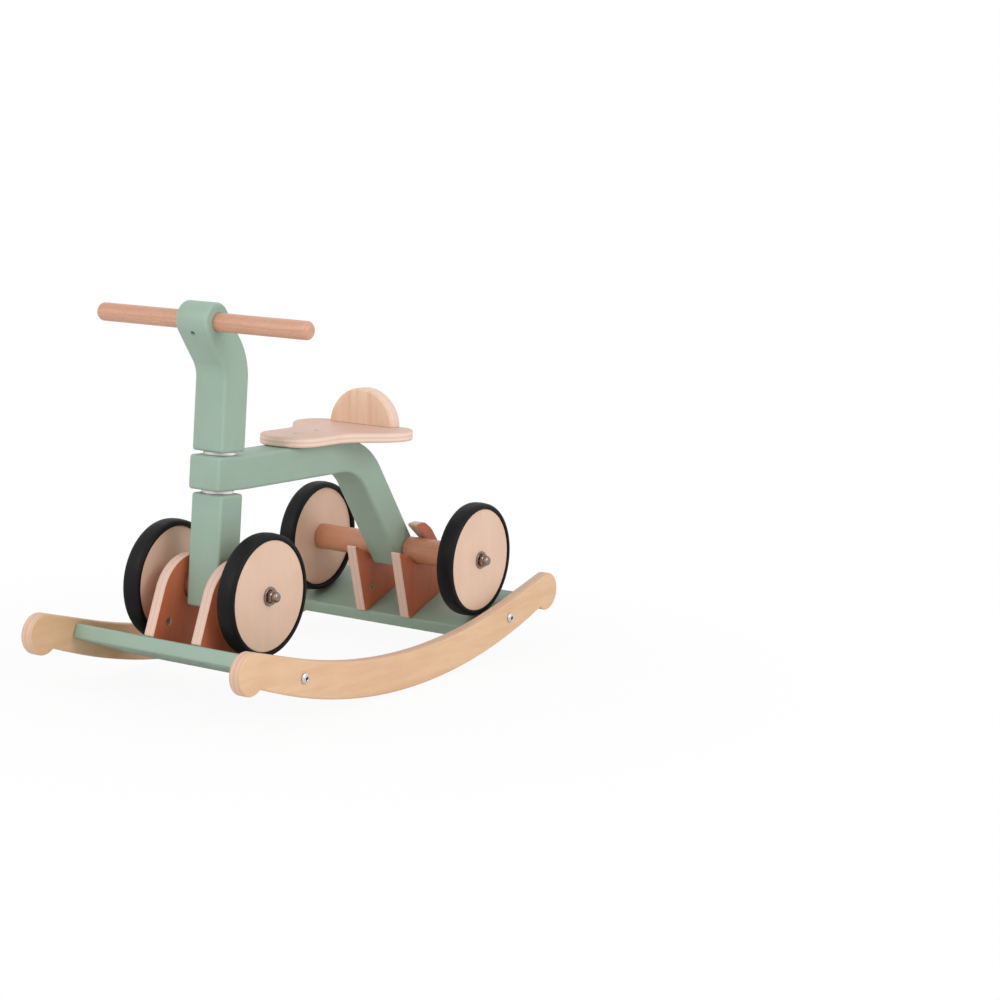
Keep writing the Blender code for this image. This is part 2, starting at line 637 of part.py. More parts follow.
def build_seat(bottom, front_axle, placing, skins):
    """The plywood seat and its back rest, with the screws that hold them."""
    top = bottom + SEAT_THICKNESS
    seat = plate("seat", seat_outline(), bottom, top, skins["ply"], along="Z", edge=PLY_EDGE, **placing)
    head_depth = SCREW_HEAD_HEIGHT + GAP
    head_hole = SCREW_HEAD_RADIUS + GAP
    shank_hole = SCREW_RADIUS + GAP
    holes = []
    past = 0.001
    for y in SEAT_SCREWS:
        holes.append(((0, y, bottom - past), (0, y, top + past), shank_hole, head_depth + past, head_hole))
    back_middle = BACK_FRONT + BACK_THICKNESS / 2
    for x in (-BACK_SCREW_X, BACK_SCREW_X):
        holes.append(((x, back_middle, top + past), (x, back_middle, bottom - past), shank_hole,
                      head_depth + past, head_hole))
    bore(seat, holes, segments=12)
    for label, y in zip(("front", "rear"), SEAT_SCREWS):
        countersunk("seat_screw_" + label, SEAT_SCREW_LENGTH, skins["steel"], (0, 0, -1),
                    parent=placing["parent"], place=front_axle + Vector((0, y, top - 0.0002)))

    base = top + GAP

    def is_rim(middle, length):
        return middle.z > base + 0.0002 and length < BACK_THICKNESS / 2

    rise = math.asin(BACK_DROP / BACK_RADIUS)
    half_disc = arc((0, base - BACK_DROP), BACK_RADIUS, rise, math.pi - rise, 22)
    back = plate("back_rest", half_disc, BACK_FRONT, BACK_FRONT + BACK_THICKNESS, skins["ply"], along="Y",
                 edge=0, corners=[(is_rim, PLY_EDGE, 2)], **placing)
    back_holes = []
    for side, hand in ((1, "left"), (-1, "right")):
        x = side * BACK_SCREW_X
        tip = bottom + BACK_SCREW_LENGTH + 0.002
        back_holes.append(((x, back_middle, top - 0.001), (x, back_middle, tip), shank_hole))
        countersunk("back_rest_screw_" + hand, BACK_SCREW_LENGTH, skins["steel"], (0, 0, 1),
                    parent=placing["parent"], place=front_axle + Vector((x, back_middle, bottom + 0.0002)))
    bore(back, back_holes, segments=12)


def column_glide(label, bottom, pivot, skins):
    """A plastic glide ring between the frame's head and the column, round the steering pivot."""
    top = bottom + GLIDE_THICKNESS
    chamfer = 0.0006
    ring = [(bottom, PIVOT_RADIUS + RUNNING), (bottom, GLIDE_RADIUS - chamfer), (bottom + chamfer, GLIDE_RADIUS),
            (top - chamfer, GLIDE_RADIUS), (top, GLIDE_RADIUS - chamfer), (top, PIVOT_RADIUS + RUNNING)]
    place = Vector((0, -WHEELBASE, 0)) + Vector((0, *column_to_ride(0, 0)))
    return turned("steering_glide_" + label, ring, skins["plastic"], closed=True, segments=24, aim=(0, 0, 1),
                  parent=pivot, place=place)


def build_steering(column, skins):
    """Everything that turns with the handlebar. Its origin is on the steering axis at the axle."""
    fork_top = HEAD_BOTTOM - 2 * GAP - GLIDE_THICKNESS
    stem_bottom = HEAD_TOP + 2 * GAP + GLIDE_THICKNESS
    depth = COLUMN_HALF_DEPTH
    side_view = [(-depth, FORK_BOTTOM), (depth, FORK_BOTTOM), (depth, fork_top), (-depth, fork_top)]
    fork = plate("fork", side_view, -TIMBER_HALF_WIDTH, TIMBER_HALF_WIDTH, skins["paint"], edge=TIMBER_EDGE,
                 parent=column)
    hole = PIVOT_RADIUS + GAP
    bore(fork, [((0, 0, PIVOT_LOW - 0.002), (0, 0, fork_top + 0.001), hole),
                ((-0.03, TRAIL, 0), (0.03, TRAIL, 0), ROD_RADIUS + GAP)])
    stem = plate("stem", stem_outline(stem_bottom), -TIMBER_HALF_WIDTH, TIMBER_HALF_WIDTH, skins["paint"],
                 edge=TIMBER_EDGE, parent=column)
    bar_place = Vector((0, -BAR_FORWARD, BAR_HEIGHT))
    lock_aim = Vector((0, -math.cos(ARM_ANGLE), -math.sin(ARM_ANGLE)))
    lock_mouth = bar_place + lock_aim * (EYE_RADIUS - 0.0015)
    lock_end = bar_place + lock_aim * (BAR_RADIUS + 2 * GAP)
    across = Vector((0.03, 0, 0))
    bore(stem, [((0, 0, stem_bottom - 0.001), (0, 0, PIVOT_HIGH + 0.002), hole),
                (bar_place - across, bar_place + across, BAR_RADIUS + GAP),
                (lock_mouth + lock_aim * 0.004, bar_place + lock_aim * BAR_RADIUS, LOCK_SCREW_RADIUS + GAP)],
         segments=24)
    pivot_profile = [(PIVOT_LOW, 0), (PIVOT_LOW, PIVOT_RADIUS), (PIVOT_HIGH, PIVOT_RADIUS), (PIVOT_HIGH, 0)]
    turned("steering_pivot", pivot_profile, skins["steel"], segments=16, aim=(0, 0, 1), parent=column)
    quarter = arc((BAR_HALF_LENGTH - BAR_END, BAR_RADIUS - BAR_END), BAR_END, 0, math.pi / 2, 3)
    bar = [(BAR_HALF_LENGTH, 0)] + quarter
    bar += [(-x, radius) for x, radius in reversed(bar)]
    turned("handlebar", bar, skins["beech"], segments=24, parent=column, place=bar_place)
    run = (lock_mouth - lock_end).length
    profile = [(0, 0), (0, LOCK_SCREW_RADIUS), (run, LOCK_SCREW_RADIUS), (run, 0)]
    turned("handlebar_lock_screw", profile, skins["steel"], segments=12, aim=-lock_aim, parent=column,
           place=lock_mouth)
    hub = {"parent": column, "place": (0, TRAIL, 0)}
    axle("front", FRONT_WHEEL_FACE, hub, skins)
    for side, hand in ((1, "left"), (-1, "right")):
        wheel("front_" + hand, side, FRONT_WHEEL_FACE, hub, skins)
        wheel_fixing("front_" + hand, side, FRONT_WHEEL_FACE, hub, skins)


def main():
    for old in list(bpy.data.objects):
        bpy.data.objects.remove(old, do_unlink=True)
    skins = {
        "paint": material("sage_paint", (0.314, 0.434, 0.342), 0.45),
        "ply": material("birch_ply", (0.716, 0.515, 0.376), 0.5),
        "runner": material("runner_birch", (0.730, 0.485, 0.300), 0.5),
        "beech": material("beech_dowel", (0.578, 0.262, 0.156), 0.5),
        "rubber": material("black_rubber", (0.010, 0.008, 0.010), 0.55),
        "steel": material("plated_steel", (0.70, 0.68, 0.66), 0.25, 1.0),
        "plastic": material("white_plastic", (0.85, 0.80, 0.82), 0.4),
    }
    build_base(skins)
    pivot = empty("rear_axle_pivot", place=(0, WHEELBASE / 2, AXLE_HEIGHT))
    build_ride_on(pivot, skins)
    column_foot = Vector((0, -WHEELBASE, 0)) + Vector((0, *column_to_ride(0, 0)))
    column = empty("steering_axis", parent=pivot, place=column_foot, turn=(-RAKE, 0, 0))
    build_steering(column, skins)


main()
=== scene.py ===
import json
from math import acos, asin, atan2, cos, pi, radians, remainder, sin, sqrt, tan

import bmesh
import bpy
import numpy as np
from mathutils import Matrix, Vector


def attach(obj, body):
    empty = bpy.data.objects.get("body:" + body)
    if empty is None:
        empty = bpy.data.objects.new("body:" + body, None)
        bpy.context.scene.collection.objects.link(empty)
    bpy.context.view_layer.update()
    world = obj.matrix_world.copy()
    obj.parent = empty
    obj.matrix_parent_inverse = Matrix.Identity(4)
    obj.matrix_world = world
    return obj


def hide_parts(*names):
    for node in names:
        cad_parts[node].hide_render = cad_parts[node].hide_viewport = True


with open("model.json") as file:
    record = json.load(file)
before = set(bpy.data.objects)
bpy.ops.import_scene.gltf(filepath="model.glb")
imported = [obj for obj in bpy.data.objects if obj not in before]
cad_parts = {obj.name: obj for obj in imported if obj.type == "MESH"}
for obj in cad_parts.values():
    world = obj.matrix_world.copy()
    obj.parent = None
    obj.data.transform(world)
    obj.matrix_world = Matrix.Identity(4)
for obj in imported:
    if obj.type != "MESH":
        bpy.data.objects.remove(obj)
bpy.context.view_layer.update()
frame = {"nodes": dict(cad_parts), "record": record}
body_of = {node: body for body, nodes in frame["record"]["behaviour"]["bodies"].items() for node in nodes}

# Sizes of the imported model, in metres. The ride-on's lengths are from the front axle and its heights
# from the axles, and the base's are from the middle and the floor. GAP is left round fixed pieces and
# RUNNING round turning ones

GAP = 0.0003
RUNNING = 0.0005
HALF_BASE = 0.198
AXLE_HEIGHT = 0.1375
DISC_RADIUS = 0.070
DISC_WIDTH = 0.018
TYRE_RADIUS = 0.078
TYRE_WIDTH = 0.025
TYRE_PROUD = 0.0018
WHEEL_FACE = {"front": 0.0847, "rear": 0.1428}
ROD_RADIUS = 0.004
SPACER_RADIUS = 0.018
SPACER_ROUND = 0.003
WASHER_RADIUS = 0.012
WASHER_THICKNESS = 0.002
NUT_FLATS = 0.016
NUT_HEX = 0.005
NUT_HEIGHT = 0.0115
NUT_DOME = 0.0068

TIMBER_HALF_WIDTH = 0.024
BEAM_BOTTOM = 0.1232
BEAM_DEPTH = 0.0434
BEND_CENTRE_Y = 0.235
BEND_INNER = 0.0676
LEG_ANGLE = radians(37.3)
FOOT_HEIGHT = -0.0227
HEAD_FRONT = -0.029
HEAD_BACK = 0.0256

RAKE = radians(2.4)
TRAIL = 0.0052
COLUMN_HALF_DEPTH = 0.0216
STEM_HALF_DEPTH = 0.0233
STEM_SHIFT = -0.0017
FORK_BOTTOM = -0.0235
HEAD_BOTTOM = 0.1240
HEAD_TOP = 0.1673
GLIDE_THICKNESS = 0.004
GLIDE_RADIUS = 0.020
PIVOT_RADIUS = 0.005
PIVOT_LOW = 0.070
PIVOT_HIGH = 0.220
ARM_ANGLE = radians(39.7)
ARM_BEND_RADIUS = 0.057
EYE_FORWARD = 0.0452
EYE_HEIGHT = 0.3335
EYE_RADIUS = 0.02325
BAR_FORWARD = 0.0440
BAR_HEIGHT = 0.3330
BAR_RADIUS = 0.0115
BAR_HALF_LENGTH = 0.163
LOCK_SCREW_RADIUS = 0.003

SEAT_THICKNESS = 0.0135
SEAT_NOSE = 0.113
SEAT_REAR = 0.3245
NOSE_HALF_WIDTH = 0.043
SEAT_HALF_WIDTH = 0.088
NOSE_CORNER = 0.040
REAR_CORNER = 0.034
FLARE_START = 0.196
FLARE_END = 0.284
BACK_RADIUS = 0.052
BACK_DROP = 0.0034
BACK_FRONT = 0.3045
BACK_THICKNESS = 0.021
SEAT_SCREWS = {"front": 0.157, "rear": 0.203}
SEAT_SCREW_LENGTH = 0.034
BACK_SCREW_X = 0.024
BACK_SCREW_LENGTH = 0.036
SCREW_RADIUS = 0.002
SCREW_HEAD_RADIUS = 0.0045
SCREW_HEAD_HEIGHT = 0.0022

RUNNER_INNER = 0.154
RUNNER_THICKNESS = 0.016
SOLE_RADIUS = 0.946
CROWN_RADIUS = 0.978
RUNNER_DEPTH = 0.0485
BULB_RADIUS = 0.0263
BULB_Y = 0.3385
BULB_Z = 0.0765
BOARD_Y = 0.2311
BOARD_Z = 0.063865
BOARD_SLOPE = radians(20.2)
BOARD_WIDTH = 0.110
BOARD_THICKNESS = 0.0185
BOLT_Y = 0.237
BOLT_Z = 0.0547
BOLT_RADIUS = 0.003
BOLT_HEAD_RADIUS = 0.007
BOLT_HEAD_HEIGHT = 0.0035
BOARD_NUT_INSET = 0.030
CROSS_NUT_RADIUS = 0.005
CROSS_NUT_LENGTH = 0.012
CRADLE_INNER = 0.0295
CRADLE_THICKNESS = 0.015
CRADLE_BOLT_HEAD = 0.006
CRADLE_BOLT_HEAD_HEIGHT = 0.003
CRADLE_BOLT_RECESS = 0.0045
CRADLE_NUT = {"front": (-0.0536, -0.0394), "rear": (-0.0066, -0.0598)}
POCKET_RADIUS = 0.0187
FRONT_POCKET_BACK = 0.0060
FRONT_POCKET_FRONT = -0.0069
FRONT_CROWN = (-0.0081, -0.0176)
FRONT_CROWN_RADIUS = 0.0577

ROD_BORE = ROD_RADIUS + GAP
FORK_TOP = HEAD_BOTTOM - 2 * GAP - GLIDE_THICKNESS
STEM_BOTTOM = HEAD_TOP + 2 * GAP + GLIDE_THICKNESS
SEAT_BOTTOM = AXLE_HEIGHT + BEAM_BOTTOM + BEAM_DEPTH + GAP

# How finely the visible shapes are cut, and the roundings of their edges

ROUND_STEPS = 128
DOWEL_STEPS = 96
SMALL_STEPS = 72
DRILL_STEPS = 48
CREASE = radians(34)
STEEL_CREASE = radians(25)
WELD = 1e-7
TIMBER_EDGE = 0.0038
TIMBER_CORNER = 0.0042
RUNNER_EDGE = 0.0026
SEAT_EDGE = 0.0026
BACK_EDGE = 0.0042
BOARD_EDGE = 0.0024
BOARD_CORNER = 0.0028
CRADLE_EDGE = 0.0008
BAR_END = 0.0070
FLAT_MARGIN = 0.0002

# Studio: the camera, the lamps as place, size and power, and the white room

CAMERA_PLACE = (1.7350, -2.3776, 0.6923)
CAMERA_BACK = (0.5131, -0.8445, 0.1537)
CAMERA_ROLL = radians(2.36)
CAMERA_LENS = 81.06
LAMP_TARGET = (0, 0, 0.22)
LAMPS = {
    "front light": ((-0.5, -2.6, 1.7), 1.8, 27),
    "side light": ((2.6, -0.1, 1.5), 1.8, 27),
    "top light": ((-0.2, 0.3, 2.9), 2.2, 3),
}
AMBIENT = 0.65
FILL_TINT = (1.0, 0.945, 0.955)
WHITE = (1.0, 1.0, 1.0)
FLOOR_REACH = 30.0
FLOOR_WHITE = 0.92
FLOOR_FADE = (0.30, 0.90)

ENDS = {"front": -1, "rear": 1}
HANDS = {"left": 1, "right": -1}
X, Y, Z = range(3)
X_AXIS = np.array([1.0, 0.0, 0.0])


# Shader sums

def join(tree, value, place):
    """Link a wire to a socket, or set the socket to a plain value."""
    if isinstance(value, Wire):
        tree.links.new(value.socket, place)
    elif place.type == "RGBA" and len(value) == 3:
        place.default_value = (*value, 1.0)
    else:
        place.default_value = value


def add_node(tree, kind, settings=None, inputs=None, output=0):
    """One output of a new node. Its settings are set first, then its sockets' values or links."""
    node = tree.nodes.new(kind)
    for setting, value in (settings or {}).items():
        setattr(node, setting, value)
    for socket, value in (inputs or {}).items():
        join(tree, value, node.inputs[socket])
    return Wire(tree, node.outputs[output])


def mix_colours(tree, factor, first, second):
    """A mix of two colours, which are sockets 6 and 7 of a Mix node and its output 2."""
    return add_node(tree, "ShaderNodeMix", {"data_type": "RGBA"}, {0: factor, 6: first, 7: second}, 2)


class Wire:
    """A node's output socket. A sum on it adds a Math node."""

    def __init__(self, tree, socket):
        self.tree = tree
        self.socket = socket

    def maths(self, operation, *parts):
        return add_node(self.tree, "ShaderNodeMath", {"operation": operation}, dict(enumerate(parts)))

    def __add__(self, other):
        return self.maths("ADD", self, other)

    __radd__ = __add__

    def __sub__(self, other):
        return self.maths("SUBTRACT", self, other)

    def __rsub__(self, other):
        return self.maths("SUBTRACT", other, self)

    def __mul__(self, other):
        return self.maths("MULTIPLY", self, other)

    __rmul__ = __mul__

    def __truediv__(self, other):
        return self.maths("DIVIDE", self, other)

    def __abs__(self):
        return self.maths("ABSOLUTE", self)

    def fraction(self):
        return self.maths("FRACT", self)

    def wave(self):
        return self.maths("SINE", self)

    def root(self):
        return self.maths("SQRT", self)

    def at_least(self, other):
        return self.maths("MAXIMUM", self, other)

    def step(self, low, high):
        """0 below low, 1 above high, and a smooth ramp between them."""
        return add_node(self.tree, "ShaderNodeMapRange", {"interpolation_type": "SMOOTHSTEP"},
                        {"Value": self, "From Min": low, "From Max": high}, "Result")


class Finish:
    """A material under construction: its tree, its shader and the methods that add nodes."""

    def __init__(self, name, **constants):
        self.material = bpy.data.materials.new(name)
        self.material.use_nodes = True
        self.tree = self.material.node_tree
        self.shader = self.tree.nodes["Principled BSDF"]
        for socket, value in constants.items():
            self.shader.inputs[socket.replace("_", " ")].default_value = value
        self.place = self.add("ShaderNodeTexCoord", output="Object")

    def add(self, kind, settings=None, inputs=None, output=0):
        return add_node(self.tree, kind, settings, inputs, output)

    def axis(self, index):
        """One coordinate of the object, in metres."""
        return self.add("ShaderNodeSeparateXYZ", inputs={0: self.place}, output=index)

    def noise(self, scale, detail=3.0, roughness=0.55, distortion=0.0, offset=(0, 0, 0)):
        """Soft noise whose grains are 1 / scale metres long, alike on every axis or given for each."""
        scale = scale if isinstance(scale, tuple) else (scale, scale, scale)
        placing = {"Vector": self.place, "Scale": scale, "Location": offset}
        vector = self.add("ShaderNodeMapping", {}, placing)
        return self.add("ShaderNodeTexNoise", {}, {
            "Vector": vector, "Scale": 1.0, "Detail": detail, "Roughness": roughness,
            "Distortion": distortion})

    def attribute(self, name):
        settings = {"attribute_type": "GEOMETRY", "attribute_name": name}
        return self.add("ShaderNodeAttribute", settings, output="Fac")

    def blend(self, factor, first, second):
        return mix_colours(self.tree, factor, first, second)

    def bump(self, height, strength, distance):
        inputs = {"Height": height, "Strength": strength, "Distance": distance}
        join(self.tree, self.add("ShaderNodeBump", {}, inputs, "Normal"), self.shader.inputs["Normal"])

    def finish(self, colour, roughness):
        join(self.tree, colour, self.shader.inputs["Base Color"])
        join(self.tree, roughness, self.shader.inputs["Roughness"])
        return self.material


# Finishes. Colours are linear

PAINT = (0.306, 0.432, 0.340)
PAINT_PALE = (0.360, 0.484, 0.390)
PAINT_DEEP = (0.272, 0.392, 0.303)
PLY = ((0.770, 0.560, 0.425), (0.670, 0.445, 0.305), (0.430, 0.225, 0.128))
SEAT_PLY = ((0.735, 0.510, 0.405), (0.620, 0.400, 0.300), (0.380, 0.200, 0.125))
BACK_PLY = ((0.880, 0.675, 0.500), (0.740, 0.480, 0.310), (0.450, 0.225, 0.120))
# The cradle plates' faces are a darker, redder copy of the ply: painted shade for faces that sit in shadow
# between the plates.
CRADLE_PLY_SHADED = ((0.640, 0.195, 0.085), (0.520, 0.125, 0.050), (0.260, 0.050, 0.022))
CRADLE_EDGES = ((0.760, 0.560, 0.450), (0.680, 0.470, 0.370))
EDGE_PALE = (0.870, 0.680, 0.560)
EDGE_WARM = (0.700, 0.450, 0.320)
RUNNER = ((0.790, 0.540, 0.330), (0.670, 0.405, 0.215), (0.400, 0.205, 0.095))
RUNNER_EDGES = ((0.720, 0.505, 0.360), (0.590, 0.375, 0.245))
BEECH_PALE = (0.660, 0.385, 0.265)
BEECH_WARM = (0.520, 0.232, 0.130)
BEECH_BROWN = (0.270, 0.095, 0.045)
# The spacers' beech is a redder, darker copy of the bar's: painted shade for pieces that sit in shadow
# between the timbers and the wheels.
SPACER_PALE_SHADED = (0.640, 0.285, 0.160)
BEECH_RING = 0.0034
RUBBER = ((0.0022, 0.0017, 0.0022), (0.0070, 0.0058, 0.0066))
STEEL = (0.66, 0.64, 0.63)
# Hub washers and cap nuts: the steel darkened and browned, a painted reflection of a dark room and of the
# wood round them.
NUT_STEEL_DARKENED = (0.300, 0.235, 0.205)
DULL_STEEL = (0.42, 0.39, 0.37)
STEEL_STAIN = 0.66
RECESS_SHADE_AND_DIRT = (0.022, 0.018, 0.017)
PLASTIC = ((0.930, 0.840, 0.875), (0.880, 0.760, 0.805), (0.760, 0.640, 0.690))
FLOOR_GREYS = ((0.88, 0.88, 0.88), (0.84, 0.84, 0.84))


def along(grain, fine, coarse):
    """A scale that is coarse along the grain's axis and fine across it."""
    return tuple(coarse if index == grain else fine for index in range(3))


def plywood(name, tones, grain, across, start, pitch, figured=0.5, edges=(EDGE_PALE, EDGE_WARM)):
    """Lacquered plywood. Its faces show fibres, figure and pores, and its cut edges show the veneers.

    tones are the face's pale, warm and brown colours. grain is the axis of the fibres and across the
    axis through the sheet. A veneer is pitch thick, counted from start. figured is how bold the figure is.
    """
    pale, warm, brown = tones
    edge_pale, edge_warm = edges
    f = Finish(name, Coat_Weight=0.12, Coat_Roughness=0.32)
    offset = (3.1, 1.7, 0.4)
    cut = f.attribute("cut")
    fibre = f.noise(along(grain, 1500, 42), 3.0, 0.6)
    figure = f.noise(along(grain, 75, 7), 2.0, 0.5, 0.7)
    cloud = f.noise(16, 1.0)
    pore = f.noise(along(grain, 2600, 230), 2.0, 0.6, 0.0, offset).step(0.640, 0.720)
    face = f.blend(figure.step(0.34, 0.72) * figured, pale, warm)
    face = f.blend(fibre.step(0.40, 0.72) * (0.14 + 0.5 * figured), face, warm)
    face = f.blend(cloud.step(0.42, 0.66) * 0.26, face, warm)
    face = f.blend(pore * (0.10 + 0.5 * figured), face, brown)
    depth = (abs(f.axis(across)) - start) / pitch
    veneer = (depth * pi).wave().step(-0.25, 0.25)
    glue = abs(depth.fraction() - 0.5).step(0.425, 0.490)
    end_grain = f.noise(900, 2.0, 0.6)
    side = f.blend(veneer * 0.42, edge_pale, edge_warm)
    side = f.blend(end_grain.step(0.45, 0.75) * veneer * 0.28, side, brown)
    side = f.blend(glue * 0.10, side, brown)
    colour = f.blend(cut, face, side)
    f.bump(fibre * 0.6 + pore * -0.9 + cut * glue * -0.8, 0.30, 0.00010)
    return f.finish(colour, 0.40 + fibre * 0.16 + cut * 0.10)


def solid_beech(name, pith, pale=BEECH_PALE):
    """Lacquered beech turned along X, with growth rings about a line through pith and short ray flecks."""
    f = Finish(name, Coat_Weight=0.32, Coat_Roughness=0.24)
    sway = f.noise((5, 30, 30), 2.0)
    apart_y = f.axis(1) - pith[0] + (sway - 0.5) * 0.012
    apart_z = f.axis(2) - pith[1] + (sway - 0.5) * 0.010
    radius = (apart_y * apart_y + apart_z * apart_z).root()
    ring = (radius * (2 * pi / BEECH_RING)).wave() * 0.5 + 0.5
    fibre = f.noise((45, 1700, 1700), 3.0, 0.6)
    fleck = f.noise((330, 2100, 2100), 2.0, 0.55, 0.0, (2.2, 0.9, 5.3)).step(0.600, 0.675)
    tone = f.noise((7, 40, 40), 1.0)
    colour = f.blend(ring * 0.42, pale, BEECH_WARM)
    colour = f.blend(fibre.step(0.38, 0.72) * 0.42, colour, BEECH_WARM)
    colour = f.blend(tone.step(0.40, 0.68) * 0.30, colour, BEECH_WARM)
    colour = f.blend(fleck * 0.62, colour, BEECH_BROWN)
    f.bump(fibre * 0.7 - fleck * 0.8, 0.35, 0.00010)
    return f.finish(colour, 0.38 + fibre * 0.18)


def painted_timber(name, grain):
    """Satin paint over wood: roller texture, the grain faintly telegraphing through, and paler edges: a
    painted highlight along every rounding, with rubbed patches of wear on it.
    """
    f = Finish(name, Coat_Weight=0.10, Coat_Roughness=0.38)
    rounding = f.attribute("rounding")
    roller = f.noise(1300, 2.0, 0.5)
    tone = f.noise(22, 2.0)
    ghost = f.noise(along(grain, 420, 14), 3.0, 0.6)
    rub = f.noise(260, 3.0, 0.65).step(0.47, 0.66)
    colour = f.blend(tone.step(0.34, 0.70) * 0.40, PAINT, PAINT_DEEP)
    colour = f.blend(ghost.step(0.45, 0.75) * 0.22, colour, PAINT_PALE)
    # Every rounded edge is made paler: a painted highlight, with rubbed wear (rub) adding more in patches.
    colour = f.blend(rounding * (0.22 + rub * 0.42), colour, PAINT_PALE)
    f.bump(roller * 0.55 + ghost * 0.75, 0.35, 0.00012)
    return f.finish(colour, 0.42 + roller * 0.10 + rounding * -0.05)


def tyre_rubber():
    """Soft black rubber with a fine stipple, a little dust and a faint bloom."""
    f = Finish("tyre rubber", Specular_IOR_Level=0.20)
    stipple = f.noise(2200, 2.0, 0.6)
    dust = f.noise(60, 4.0, 0.65)
    colour = f.blend(dust.step(0.46, 0.78) * 0.40, *RUBBER)
    f.bump(stipple, 0.35, 0.00010)
    return f.finish(colour, 0.46 + dust.step(0.4, 0.8) * 0.16 + stipple * 0.08)


def plated_steel(name, tint):
    """Bright nickel plate with hair lines and soft stains, and a driver's recess darkened: painted shade,
    with some dirt.
    """
    f = Finish(name, Metallic=1.0)
    hair = f.noise((300, 4200, 4200), 2.0, 0.6)
    stain = f.noise(420, 3.0, 0.6)
    recess = f.attribute("recess")
    colour = f.blend(stain.step(0.50, 0.78) * 0.45, tint, tuple(part * STEEL_STAIN for part in tint))
    # The recess is darkened nearly to black: painted shade in the hollow, with some dirt.
    colour = f.blend(recess * 0.90, colour, RECESS_SHADE_AND_DIRT)
    f.bump(hair, 0.15, 0.00004)
    return f.finish(colour, 0.16 + hair * 0.12 + stain.step(0.45, 0.8) * 0.16 + recess * 0.30)


def white_plastic():
    """Smooth white moulded plastic with a faint mottle and fine scuffs."""
    clean, dull, scuffed = PLASTIC
    f = Finish("white plastic", Coat_Weight=0.15, Coat_Roughness=0.25)
    mottle = f.noise(180, 3.0)
    scuff = f.noise((900, 900, 4000), 2.0, 0.6).step(0.58, 0.72)
    colour = f.blend(mottle.step(0.35, 0.75) * 0.35, clean, dull)
    colour = f.blend(scuff * 0.22, colour, scuffed)
    f.bump(mottle * 0.5 + scuff * 0.3, 0.20, 0.00008)
    return f.finish(colour, 0.34 + mottle * 0.14)


# The finishes of each of the record's slots
GROUPS = {
    "sage_paint": [
        painted_timber("board paint", X),
        painted_timber("frame paint", Y),
        painted_timber("column paint", Z),
    ],
    "birch_ply": [
        plywood("disc ply", PLY, Z, X, start=0.0, pitch=0.0015, figured=0.17),
        # The cradle faces take the darkened tones, which are painted shade.
        plywood("cradle ply with painted shade", CRADLE_PLY_SHADED, Z, X, start=CRADLE_INNER, pitch=0.0030, figured=0.45,
                edges=CRADLE_EDGES),
        plywood("seat ply", SEAT_PLY, Y, Z, start=SEAT_BOTTOM, pitch=0.0027, figured=0.30),
        plywood("back rest ply", BACK_PLY, Z, Y, start=BACK_FRONT - HALF_BASE, pitch=0.0030, figured=0.80),
    ],
    "runner_wood": [
        plywood("runner wood", RUNNER, Y, X, start=RUNNER_INNER, pitch=0.0032, figured=0.55,
                edges=RUNNER_EDGES),
    ],
    "beech_dowel": [
        solid_beech("bar beech", pith=(-0.19, 0.43)),
        # The spacers take the darkened pale tone, which is painted shade.
        solid_beech("spacer beech with painted shade", pith=(0.02, 0.09), pale=SPACER_PALE_SHADED),
    ],
    "tyre_rubber": [tyre_rubber()],
    "plated_steel": [
        plated_steel("steel", STEEL),
        plated_steel("nut steel with painted reflection", NUT_STEEL_DARKENED),
        plated_steel("dull steel", DULL_STEEL),
    ],
    "white_plastic": [white_plastic()],
}
FINISHES = {material.name: (slot, material) for slot, group in GROUPS.items() for material in group}


# Shapes

def unit(vector):
    return np.asarray(vector, float) / np.linalg.norm(vector)


def arc(centre, radius, start, end, steps):
    """Points of centre + radius * (cos a, sin a), with a in equal steps from start to end."""
    angles = np.linspace(start, end, steps + 1)
    return np.column_stack([centre[0] + radius * np.cos(angles), centre[1] + radius * np.sin(angles)])


def corner(before, here, after, radius, steps=6):
    """The arc that rounds a corner. Its centre is radius / sin(half the angle) up the bisector."""
    back = unit(before - here)
    ahead = unit(after - here)
    half = acos(max(-1.0, min(1.0, float(back @ ahead)))) / 2
    centre = here + unit(back + ahead) * radius / sin(half)
    first = here + back * radius / tan(half) - centre
    last = here + ahead * radius / tan(half) - centre
    start = atan2(first[1], first[0])
    sweep = remainder(atan2(last[1], last[0]) - start, 2 * pi)
    return arc(centre, radius, start, start + sweep, steps)


def rounded(corners, radii, steps=6):
    """A closed outline through corners, each rounded by its radius. A radius of 0 keeps the point."""
    corners = np.asarray(corners, float)
    sides = zip(np.roll(corners, 1, axis=0), corners, np.roll(corners, -1, axis=0), radii)
    return np.vstack([corner(*three, radius, steps) if radius else three[1][None]
                      for *three, radius in sides])


def tidied(outline):
    """The outline turned anticlockwise, without points that repeat the one before."""
    outline = np.asarray(outline, float)
    apart = np.linalg.norm(outline - np.roll(outline, 1, axis=0), axis=1)
    outline = outline[apart > 1e-6]
    x, y = outline.T
    area = np.sum(x * np.roll(y, -1) - np.roll(x, -1) * y)
    return outline if area > 0 else outline[::-1]


def outward(outline):
    """At each point the sum of its two sides' normals over 1 + their cosine, so sides move in parallel."""
    ahead = np.roll(outline, -1, axis=0) - outline
    ahead = ahead / np.linalg.norm(ahead, axis=1)[:, None]
    after = np.column_stack([ahead[:, 1], -ahead[:, 0]])
    before = np.roll(after, 1, axis=0)
    return (before + after) / (1 + np.sum(before * after, axis=1))[:, None]


def grid_faces(rings, points, closed=False):
    """Quads between neighbouring rings of a grid, and back to the first ring if closed."""
    first = np.arange(rings if closed else rings - 1)[:, None] * points
    second = (first + points) % (rings * points)
    here = np.arange(points)[None]
    following = (here + 1) % points
    quads = np.stack([first + here, first + following, second + following, second + here], axis=-1)
    return quads.reshape(-1, 4).tolist()


